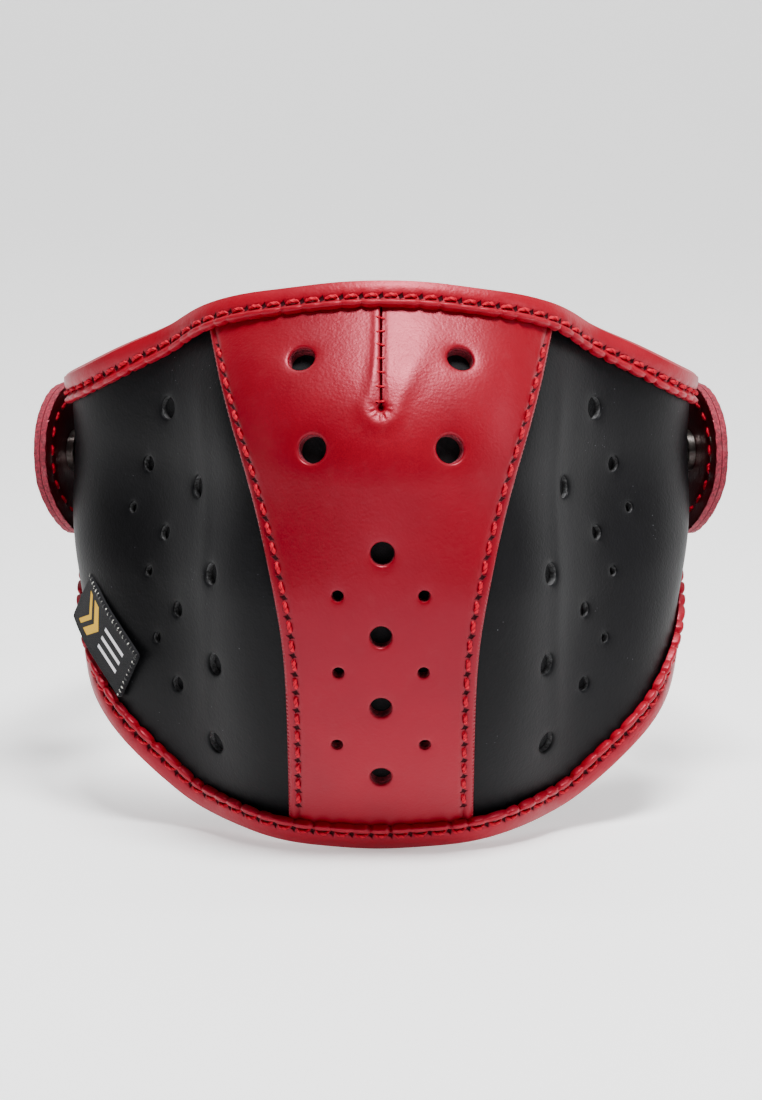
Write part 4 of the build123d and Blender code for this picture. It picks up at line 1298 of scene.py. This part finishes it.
class MASK_OT_bindings(bpy.types.Operator):
    """Folded leather bindings round the edge, with their stitches"""

    bl_idname = "mask.bindings"
    bl_label = "Bindings"

    def execute(self, context):
        made = finishes()
        sizes = context.scene.mask_sizes
        end = HALF_LENGTH + BINDING_OUT
        for name, edge, into in (("top", top_edge, -1), ("bottom", bottom_edge, 1)):
            fine = np.linspace(-end, end, 3001)
            run = Line(shell(fine, edge(fine)), shell_normal(fine, edge(fine))).run
            s = np.interp(np.arange(0.0, run[-1], STATION_SPACING), run, fine)
            s = np.append(s, end)
            origin, outward, inwards = edge_directions(s, edge, into)
            lift = centre_lift(s, edge(s))
            tight = 1.0 if into > 0 else 0.55 + 0.45 * eased(s, 20.0, 60.0)
            piece, line = binding_piece(
                f"{name}_edge_binding", origin, outward, inwards, lift, sizes, made, tight)
            settle(piece, "mask", "red_leather", f"{name}_binding")
            holes = line.holes(sizes.pitch)
            run = (line, holes[:-1] + THREAD_GAP, holes[1:] - THREAD_GAP)
            threads = thread_piece(f"{name}_edge_thread", [run], sizes.thread, made["thread"], slant=0.35)
            settle(threads, "mask", "red_thread", f"{name}_binding_stitches")
        for name, side in SIDES:
            low = float(bottom_edge(HALF_LENGTH)) + BINDING_WIDTH + EDGE_GAP
            high = float(top_edge(HALF_LENGTH)) - BINDING_WIDTH - EDGE_GAP
            z = np.linspace(low, high, 80)
            s = np.full_like(z, side * HALF_LENGTH)
            origin = shell(s, z)
            outward = shell_normal(s, z)
            up = unit(np.gradient(origin, axis=0))
            inwards = unit(np.cross(up, outward))
            inwards *= np.where(inwards[:, 1] > 0, -1.0, 1.0)[:, None]
            piece, line = binding_piece(f"rear_edge_binding_{name}", origin, outward, inwards,
                                        np.zeros_like(z), sizes, made)
            settle(piece, "mask", "red_leather", f"{name}_rear_binding")
            holes = line.holes(sizes.pitch)
            run = (line, holes[:-1] + THREAD_GAP, holes[1:] - THREAD_GAP)
            threads = thread_piece(
                f"rear_edge_thread_{name}", [run], sizes.thread, made["thread"], slant=0.35)
            settle(threads, "mask", "red_thread", f"{name}_rear_binding_stitches")
        return {"FINISHED"}


class MASK_OT_seam_threads(bpy.types.Operator):
    """Stitches down the two long seams and across the dart"""

    bl_idname = "mask.seam_threads"
    bl_label = "Seam stitches"

    def execute(self, context):
        made = finishes()
        sizes = context.scene.mask_sizes
        for name, side in SIDES:
            line, _ = seam_line(side)
            holes = line.holes(sizes.pitch)
            run = (line, holes[:-1] + SEAM_THREAD_GAP, holes[1:] - SEAM_THREAD_GAP)
            threads = thread_piece(f"seam_thread_{name}", [run], sizes.thread, made["thread"], slant=0.3)
            settle(threads, "mask", "red_thread", f"{name}_seam_stitches")
        z = np.linspace(DART_POINT_Z + 0.3, float(top_edge(0.0)) - BINDING_WIDTH + 1.6, 300)
        outside = on_shell(np.zeros_like(z), z, np.full_like(z, CENTRE_LEATHER))
        middle = Line(outside, shell_normal(0 * z, z))
        spots = middle.holes(DART_PITCH)
        runs = []
        for spot in spots:
            height = float(np.interp(spot, middle.run, z))
            s = np.linspace(-DART_STITCH_REACH, DART_STITCH_REACH, 21)
            tilt = height + 0.18 * s * math.sin(2.7 * spot)
            lift = CENTRE_LEATHER + PLY_GAP + 0.24 - 0.50 * bell(s, 0.6)
            line = Line(on_shell(s, tilt, lift), shell_normal(s, tilt))
            runs.append((line, np.array([0.1]), np.array([2.55])))
        threads = thread_piece("dart_thread", runs, sizes.thread * DART_THREAD, made["thread"], slant=0.0)
        settle(threads, "mask", "red_thread", "dart_stitches")
        return {"FINISHED"}


# ---- woven label --------------------------------------------------------------------------------------
def label_frame():
    """Origin of the label, its directions towards the rear, across and outwards."""
    s, z = (np.array([v]) for v in LABEL_AT)
    normal = shell_normal(s, z)[0]
    rear = unit((shell(s - 1.0, z) - shell(s + 1.0, z))[0])
    up = np.cross(rear, normal)
    tilt = math.radians(LABEL_TILT)
    along = rear * math.cos(tilt) + up * math.sin(tilt)
    across = np.cross(normal, along)
    if across[2] < 0:
        across = -across
    return shell(s, z)[0] + normal * LABEL_STANDOFF, along, across, normal


class MASK_OT_label(bpy.types.Operator):
    """Small woven label on the left cheek with a plain chevron, overlocked along two sides"""

    bl_idname = "mask.label"
    bl_label = "Woven label"

    def execute(self, context):
        made = finishes()
        origin, along, across, normal = label_frame()

        def place(points, depth):
            """Label point: flat, but for a slight roll of its free rear end."""
            x = points[:, 0] - LABEL_FRONT
            y = points[:, 1] - LABEL_WIDTH / 2
            lift = depth - 0.0085 * np.maximum(x - 3.0, 0.0) ** 2
            return origin + along * x[:, None] + across * y[:, None] + normal * lift[:, None]

        corner = 1.0
        outline = rounded_box(LABEL_LENGTH, LABEL_WIDTH, corner, 0.5)
        flat, faces = triangulated(outline, [], [], 0.7, 0.6)
        edge = nearest(flat, outline)
        outer = LABEL_THICK - rounded_drop(edge, 0.35)
        outer += 0.10 * bell(edge - 0.7, 0.5)
        inner = np.full(len(flat), 0.0)
        points, all_faces, uv, finish_of = slab(flat, faces, place, outer, inner, 2)
        piece = make_piece("woven_cheek_label", points, all_faces, [made["label"], made["label"]],
                           {"label": uv}, finish_of)
        settle(piece, "mask", "label_cloth", "woven_label")

        top = np.stack([np.linspace(0.6, LABEL_LENGTH - 0.6, 200), np.full(200, LABEL_WIDTH - 0.7)], 1)
        front = np.stack([np.full(100, 0.7), np.linspace(0.8, LABEL_WIDTH - 1.4, 100)], 1)
        runs = []
        for path, direction in ((top, (0.35, 1.0)), (front, (1.0, 0.35))):
            steps = resample(path, OVERLOCK_PITCH)
            for x, y in steps:
                t = np.linspace(-0.55, 0.55, 9)
                short = np.stack([x + t * direction[0] * 0.9, y + t * direction[1] * 0.9], 1)
                short = np.clip(short, (0.0, 0.0), (LABEL_LENGTH, LABEL_WIDTH))
                line = Line(place(short, np.full(9, LABEL_THICK - 0.05)), np.tile(normal, (9, 1)))
                runs.append((line, np.array([0.0]), np.array([line.run[-1]])))
        threads = thread_piece("label_overlock", runs, OVERLOCK_THREAD, made["overlock"])
        settle(threads, "mask", "pale_thread", "label_stitches")
        return {"FINISHED"}


def rounded_box(width, height, corner, spacing):
    """Closed outline of a rectangle with quarter-round corners, its low corner at the origin."""
    parts = []
    centres = ((width - corner, corner, -90), (width - corner, height - corner, 0),
               (corner, height - corner, 90), (corner, corner, 180))
    for x, y, start in centres:
        turn = np.radians(start + np.linspace(0, 90, 7))
        parts.append(np.stack([x + corner * np.cos(turn), y + corner * np.sin(turn)], 1))
    loop = np.concatenate(parts + [parts[0][:1]])
    return resample(loop, spacing)[:-1]


# ---- tabs and snaps -------------------------------------------------------------------------------------
def tab_outline(spacing, grow=0.0):
    """Closed outline of a tab: a half-round front end about the snap and a square rear end."""
    radius = TAB_HEIGHT / 2 + grow
    corner = TAB_REAR_CORNER
    rear = TAB_REAR + grow
    turn = np.radians(np.linspace(90, 270, 91))
    front = np.stack([radius * np.cos(turn), radius * np.sin(turn)], 1)
    low = np.radians(np.linspace(-90, 0, 13))
    high = np.radians(np.linspace(0, 90, 13))
    turn, side = rear - corner, radius - corner
    low_corner = np.stack([turn + corner * np.cos(low), -side + corner * np.sin(low)], 1)
    high_corner = np.stack([turn + corner * np.cos(high), side + corner * np.sin(high)], 1)
    loop = np.concatenate([front, low_corner, high_corner, front[:1]])
    return resample(loop, spacing)[:-1]


def tab_stitch_path():
    """U-shaped stitch line on the tab: two straight runs joined by a half-circle round the snap."""
    radius = TAB_HEIGHT / 2 - TAB_STITCH_IN
    straight = np.linspace(TAB_REAR - TAB_STITCH_IN, 0, 80)
    turn = np.radians(np.linspace(90, 270, 120))
    upper = np.stack([straight, np.full_like(straight, radius)], 1)
    front = np.stack([radius * np.cos(turn), radius * np.sin(turn)], 1)
    lower = np.stack([straight[::-1], np.full_like(straight, -radius)], 1)
    return np.concatenate([upper[:-1], front, lower[1:]])


class MASK_OT_tabs(bpy.types.Operator):
    """Two-ply leather tabs with fuzzy cut edges and their stitches"""

    bl_idname = "mask.tabs"
    bl_label = "Tabs"

    def execute(self, context):
        made = finishes()
        sizes = context.scene.mask_sizes
        path = tab_stitch_path()
        path_run = np.concatenate([[0.0], np.cumsum(np.linalg.norm(np.diff(path, axis=0), axis=1))])
        for name, side in SIDES:
            centre, rearward, up, outward = snap_frame(side)
            lean = 0.03 if side < 0 else 0.015

            def place(points, depth):
                """Point of a tab: flat at the rear; in front it twists a little, its lower edge hangs
                lower and draws in to the shell.
                """
                x, y = points[:, 0], points[:, 1]
                front = eased(-x, -22.0, 2.0)
                stretch = TAB_HANG * eased(-y, 3.0, 13.0) - TAB_HANG / 2 * eased(y, 5.0, 15.0)
                hung = y * (1 + front * stretch)
                leaning = depth + lean * y * eased(-x, -30.0, 10.0)
                bowed = leaning - TAB_DRAWN_IN * front * eased(-y, 5.0, 17.5)
                return centre + rearward * x[:, None] + up * hung[:, None] + outward * bowed[:, None]

            turn = np.linspace(0, 2 * np.pi, 28, endpoint=False)
            hole = [np.stack([np.cos(turn), np.sin(turn)], 1) * r for r in (SNAP_HOLE_R, 2.6, 6.6, 7.4)]
            outline = tab_outline(0.7)
            inset = [tab_outline(0.8, -g) for g in (0.12, 0.35, 0.8)]
            near_line = [resample(path, 0.8)]
            flat, faces = triangulated(outline, [hole], inset + near_line, 1.1, 0.6)
            edge = nearest(flat, np.concatenate([tab_outline(0.25)]))
            to_line = nearest(flat, resample(path, 0.4))
            from_snap = np.hypot(flat[:, 0], flat[:, 1])
            relief = -rounded_drop(edge, sizes.edge_round) - 0.22 * bell(to_line, 0.6)
            relief -= 0.12 * bell(from_snap - 6.2, 0.8)
            low = TAB_STANDOFF
            high = TAB_STANDOFF + TAB_PLY
            pocket = (BAND_THICK + 0.1 - PLY_GAP) / 2
            in_band = (flat[:, 0] > TAB_REAR - BAND_POCKET) & (np.abs(flat[:, 1]) < BAND_WIDTH / 2 + 0.1)
            swell = 0.12 * eased(flat[:, 0], TAB_REAR - BAND_POCKET - 2, TAB_REAR - BAND_POCKET + 3)
            swell = swell * (np.abs(flat[:, 1]) < BAND_WIDTH / 2 + 0.6)
            flip_faces = side < 0
            plies = (
                ("inner", np.full(len(flat), high) - pocket * in_band, low - relief - swell),
                ("outer", high + PLY_GAP + TAB_PLY + relief + swell,
                 np.full(len(flat), high + PLY_GAP) + pocket * in_band),
            )
            for ply_name, top, bottom in plies:
                points, all_faces, uv, finish_of = slab(flat, faces, place, top, bottom, 3)
                away = ((uv[:, None, :] - path[None, ::4, :]) ** 2).sum(-1)
                along = path_run[::4][np.argmin(away, axis=1)]
                v = nearest(uv, tab_outline(0.25))
                if flip_faces:
                    all_faces = [f[::-1] for f in all_faces]
                # The inner ply gets the darkened red: painted shade on its shadowed face.
                leather = made["red_tab" if ply_name == "outer" else "painted_shade_tab"]
                piece = make_piece(f"tab_{ply_name}_leather_{name}", points, all_faces,
                                   [leather, made["red_edge"]],
                                   {"seam": np.stack([along, v], 1)}, finish_of)
                settle(piece, f"{name}_tab", "red_leather", f"{name}_tab_{ply_name}_ply")
            count = int(path_run[-1] / sizes.pitch)
            pitch = path_run[-1] / count
            starts = np.arange(count) * pitch
            outer_line = Line(place(path, np.full(len(path), high + PLY_GAP + TAB_PLY - 0.2)),
                              np.tile(outward, (len(path), 1)))
            inside_path = place(path, np.full(len(path), low + 0.45))
            inner_line = Line(inside_path, np.tile(-outward, (len(path), 1)))
            first, last = starts + THREAD_GAP, starts + pitch - THREAD_GAP
            runs = [(line, first, last) for line in (outer_line, inner_line)]
            threads = thread_piece(f"tab_thread_{name}", runs, sizes.thread, made["thread"], slant=0.3)
            settle(threads, f"{name}_tab", "red_thread", f"{name}_tab_stitches")
            for part in ("snap_stud", "snap_post", "snap_socket", "snap_cap"):
                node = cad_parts[f"{name}_{part}"]
                node.data.materials.clear()
                node.data.materials.append(made["metal"])
        return {"FINISHED"}


class MASK_OT_rear_band(bpy.types.Operator):
    """Elastic rear band in two halves, each running straight out of its tab and then curving round to the
    middle at the back
    """

    bl_idname = "mask.rear_band"
    bl_label = "Rear band"

    def execute(self, context):
        made = finishes()
        depth = TAB_STANDOFF + TAB_PLY + PLY_GAP / 2
        centre, rearward, _, outward = snap_frame(1)
        start = centre + outward * depth + rearward * (TAB_REAR - BAND_POCKET + 0.3)
        bend = centre + outward * depth + rearward * (TAB_REAR + BAND_OUT + BAND_JOINT_GAP)
        radius = bend[0] / outward[0]
        middle_y = bend[1] - radius * outward[1]
        straight = np.linspace(start[:2], bend[:2], 30)[:-1]
        first = math.atan2(outward[1], outward[0])
        angle = np.linspace(first, math.pi / 2, 120)
        arc = np.stack([radius * np.cos(angle), middle_y + radius * np.sin(angle)], 1)
        route = resample(np.concatenate([straight, arc]), 0.9)
        route[-1] = (0.0, middle_y + radius)
        tangent = unit(np.gradient(route, axis=0))
        across = np.stack([tangent[:, 1], -tangent[:, 0]], 1)
        width = BAND_WIDTH / 2
        edge = 0.45
        heights = np.linspace(-width + edge, width - edge, 41)
        ridge = 0.05 * np.cos(heights * 2 * np.pi / 1.5)
        face_x = BAND_THICK / 2 + ridge - 0.05
        turn = np.linspace(math.pi / 2, -math.pi / 2, 7)[1:-1]
        profile = [(x, z) for x, z in zip(face_x, heights)]
        profile += [((BAND_THICK / 2) * math.sin(t), width - edge + edge * math.cos(t)) for t in turn]
        profile += [(-x, z) for x, z in zip(face_x[::-1], heights[::-1])]
        profile += [(-(BAND_THICK / 2) * math.sin(t), -width + edge - edge * math.cos(t)) for t in turn]
        profile = np.array(profile)
        run = np.concatenate([[0.0], np.cumsum(np.linalg.norm(np.diff(route, axis=0), axis=1))])
        around = len(profile)
        for name, side in SIDES:
            base = np.stack([route[:, 0], route[:, 1], np.zeros(len(route))], 1)
            out = np.stack([across[:, 0], across[:, 1], np.zeros(len(route))], 1)
            points = base[:, None, :] + out[:, None, :] * profile[None, :, 0, None]
            points = points + np.array([0.0, 0.0, 1.0]) * profile[None, :, 1, None]
            points = points.reshape(-1, 3) * np.array([side, 1.0, 1.0])
            faces = tube_faces(len(route), around)
            mid = (len(route) // 2) * around
            a, b, c = points[faces[mid][0]], points[faces[mid][1]], points[faces[mid][2]]
            centre_here = points[mid:mid + around].mean(0)
            if np.dot(np.cross(b - a, c - b), a - centre_here) < 0:
                faces = [f[::-1] for f in faces]
            u = np.repeat(run, around)
            v = np.tile(profile[:, 1] + width, len(route))
            piece = make_piece(f"elastic_band_{name}", points, faces, [made["elastic"]],
                               {"weave": np.stack([u, v], 1)}, crease=60.0)
            hinge = centre + outward * depth + rearward * (TAB_REAR + BAND_OUT + BAND_JOINT_GAP / 2)
            reach = rearward * 2.6
            start_at = (hinge - reach) * np.array([side, 1.0, 1.0]) * MM
            end_at = (hinge + reach) * np.array([side, 1.0, 1.0]) * MM
            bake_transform(piece)
            if side < 0:
                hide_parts("left_band_end", "rear_band")
            else:
                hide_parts("right_band_end")
        return {"FINISHED"}


# ---- stage ----------------------------------------------------------------------------------------------
def aimed(thing, place, target):
    """Put a lamp or camera at a place, looking at a target, in metres."""
    thing.location = place
    thing.rotation_euler = (Vector(target) - Vector(place)).to_track_quat("-Z", "Y").to_euler()
    bpy.context.scene.collection.objects.link(thing)
    return thing


def softbox(name, place, target, width, height, power):
    """Rectangular area lamp of plain white light."""
    lamp = bpy.data.lights.new(name, "AREA")
    lamp.shape = "RECTANGLE"
    lamp.size = width
    lamp.size_y = height
    lamp.energy = power
    return aimed(bpy.data.objects.new(name, lamp), place, target)


CAMERA_DISTANCE = 0.760  # metres from the point it stands round
CAMERA_AIM = 82.0        # millimetres from the shell's foremost line back to that point
CAMERA_LIFT = 0.0025     # how far above the shell's middle that point is
CAMERA_RISE = 8.0        # degrees the camera stands above the mask
CAMERA_DROP = 1.9031     # degrees it looks further down than the mask's middle
CAMERA_LENS = 103.41818
FILM = 36.0
FLOOR_GAP = 0.0005       # between the mask's lowest point and the floor
FLOOR_REACH = 4.5        # how far the floor runs forwards and sideways
BACKDROP_AT = 1.6        # where the floor starts to turn up
BACKDROP_TURN = 0.5
BACKDROP_TOP = 3.2
LAMPS = (
    # name, place, target, width, height, watts
    ("top_light", (0.08, -0.26, 0.72), (0.0, -0.06, 0.0), 0.32, 0.20, 16.0),
    ("left_light", (-0.80, -0.45, 0.35), (0.0, -0.02, -0.01), 0.20, 0.6, 0.5),
    ("right_light", (0.85, -0.40, 0.40), (0.0, -0.02, -0.01), 0.20, 0.6, 2.8),
    ("left_rim_light", (-0.90, 0.50, 0.15), (0.0, 0.0, -0.01), 0.30, 0.6, 0.3),
    ("right_rim_light", (0.90, 0.50, 0.15), (0.0, 0.0, -0.01), 0.30, 0.6, 1.6),
    ("front_light", (0.15, -1.2, 0.85), (0.0, -0.05, 0.0), 0.35, 0.25, 0.35),
    ("backdrop_light", (0.0, 0.5, 1.6), (0.0, 2.0, 0.4), 2.4, 0.5, 40.0),
)


class MASK_OT_stage(bpy.types.Operator):
    """Pale floor, soft studio light and the camera"""

    bl_idname = "mask.stage"
    bl_label = "Stage"

    def execute(self, context):
        floor_z = CAD_BOX[0][2] - FLOOR_GAP
        bend = np.linspace(0.1, 1.5, 12)
        turned_y = BACKDROP_AT + BACKDROP_TURN * np.sin(bend)
        turned_z = BACKDROP_TURN - BACKDROP_TURN * np.cos(bend)
        level_y = np.linspace(-FLOOR_REACH, BACKDROP_AT, 8)
        y = np.concatenate([level_y, turned_y, [BACKDROP_AT + BACKDROP_TURN]])
        z = np.concatenate([np.zeros(8), turned_z, [BACKDROP_TOP]])
        x = np.linspace(-FLOOR_REACH, FLOOR_REACH, 9)
        grid = np.stack([np.tile(x, len(y)), np.repeat(y, len(x)), np.repeat(z, len(x)) + floor_z], 1)
        i, j = np.meshgrid(np.arange(len(y) - 1), np.arange(len(x) - 1), indexing="ij")
        start = i * len(x) + j
        faces = np.stack([start, start + 1, start + len(x) + 1, start + len(x)], -1).reshape(-1, 4)
        pale = Finish("pale_floor", Roughness=0.6, Emission_Color=(1.0, 1.0, 1.0, 1.0),
                      Emission_Strength=0.45)
        speck = pale.noise(pale.place(), 3.0, 2.0)
        pale.feed("Base Color", pale.mix(speck, (0.88, 0.88, 0.88), (0.92, 0.92, 0.92)))
        floor = make_piece("studio_floor", grid / MM, faces.tolist(), [pale.material])

        for lamp in LAMPS:
            softbox(*lamp)
        world = bpy.data.worlds.new("studio")
        world.use_nodes = True
        background = world.node_tree.nodes["Background"]
        background.inputs["Color"].default_value = (1.0, 1.0, 1.0, 1.0)
        background.inputs["Strength"].default_value = 0.06
        context.scene.world = world

        rise = math.radians(CAMERA_RISE)
        front = (FRONT_Y + CAMERA_AIM) * MM
        height = CAMERA_DISTANCE * math.sin(rise) + CAMERA_LIFT
        place = (0.0, front - CAMERA_DISTANCE * math.cos(rise), height)
        down = math.radians(CAMERA_RISE + CAMERA_DROP)
        target = (0.0, place[1] + math.cos(down), place[2] - math.sin(down))
        lens = bpy.data.cameras.new("studio_camera")
        lens.sensor_fit = "AUTO"
        lens.sensor_width = FILM
        lens.lens = CAMERA_LENS
        lens.clip_start = 0.01
        context.scene.camera = aimed(bpy.data.objects.new("studio_camera", lens), place, target)
        return {"FINISHED"}


STEPS = (
    MASK_OT_stage,
    MASK_OT_centre_panel,
    MASK_OT_side_panels,
    MASK_OT_linings,
    MASK_OT_bindings,
    MASK_OT_seam_threads,
    MASK_OT_label,
    MASK_OT_tabs,
    MASK_OT_rear_band,
)


class MASK_PT_panel(bpy.types.Panel):
    """Sidebar panel with the mask's steps, sizes and colours"""

    bl_idname = "MASK_PT_panel"
    bl_label = "Leather half-face mask"
    bl_space_type = "VIEW_3D"
    bl_region_type = "UI"
    bl_category = "Mask"

    def draw(self, context):
        for step in STEPS:
            self.layout.operator(step.bl_idname, text=step.bl_label)
        for group in (context.scene.mask_sizes, context.scene.mask_colours):
            for key in group.bl_rna.properties.keys():
                if key not in ("rna_type", "name"):
                    self.layout.prop(group, key)


CLASSES = (MaskColours, MaskSizes, *STEPS, MASK_PT_panel)


def register():
    """Add the panel, the steps and the two groups of settings."""
    for cls in CLASSES:
        bpy.utils.register_class(cls)
    bpy.types.Scene.mask_colours = bpy.props.PointerProperty(type=MaskColours)
    bpy.types.Scene.mask_sizes = bpy.props.PointerProperty(type=MaskSizes)


def unregister():
    """Take them out again."""
    del bpy.types.Scene.mask_colours
    del bpy.types.Scene.mask_sizes
    for cls in reversed(CLASSES):
        bpy.utils.unregister_class(cls)


def main():
    """Register the add-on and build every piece."""
    register()
    for step in STEPS:
        area, action = step.bl_idname.split(".")
        getattr(getattr(bpy.ops, area), action)()


if __name__ == "__main__":
    main()
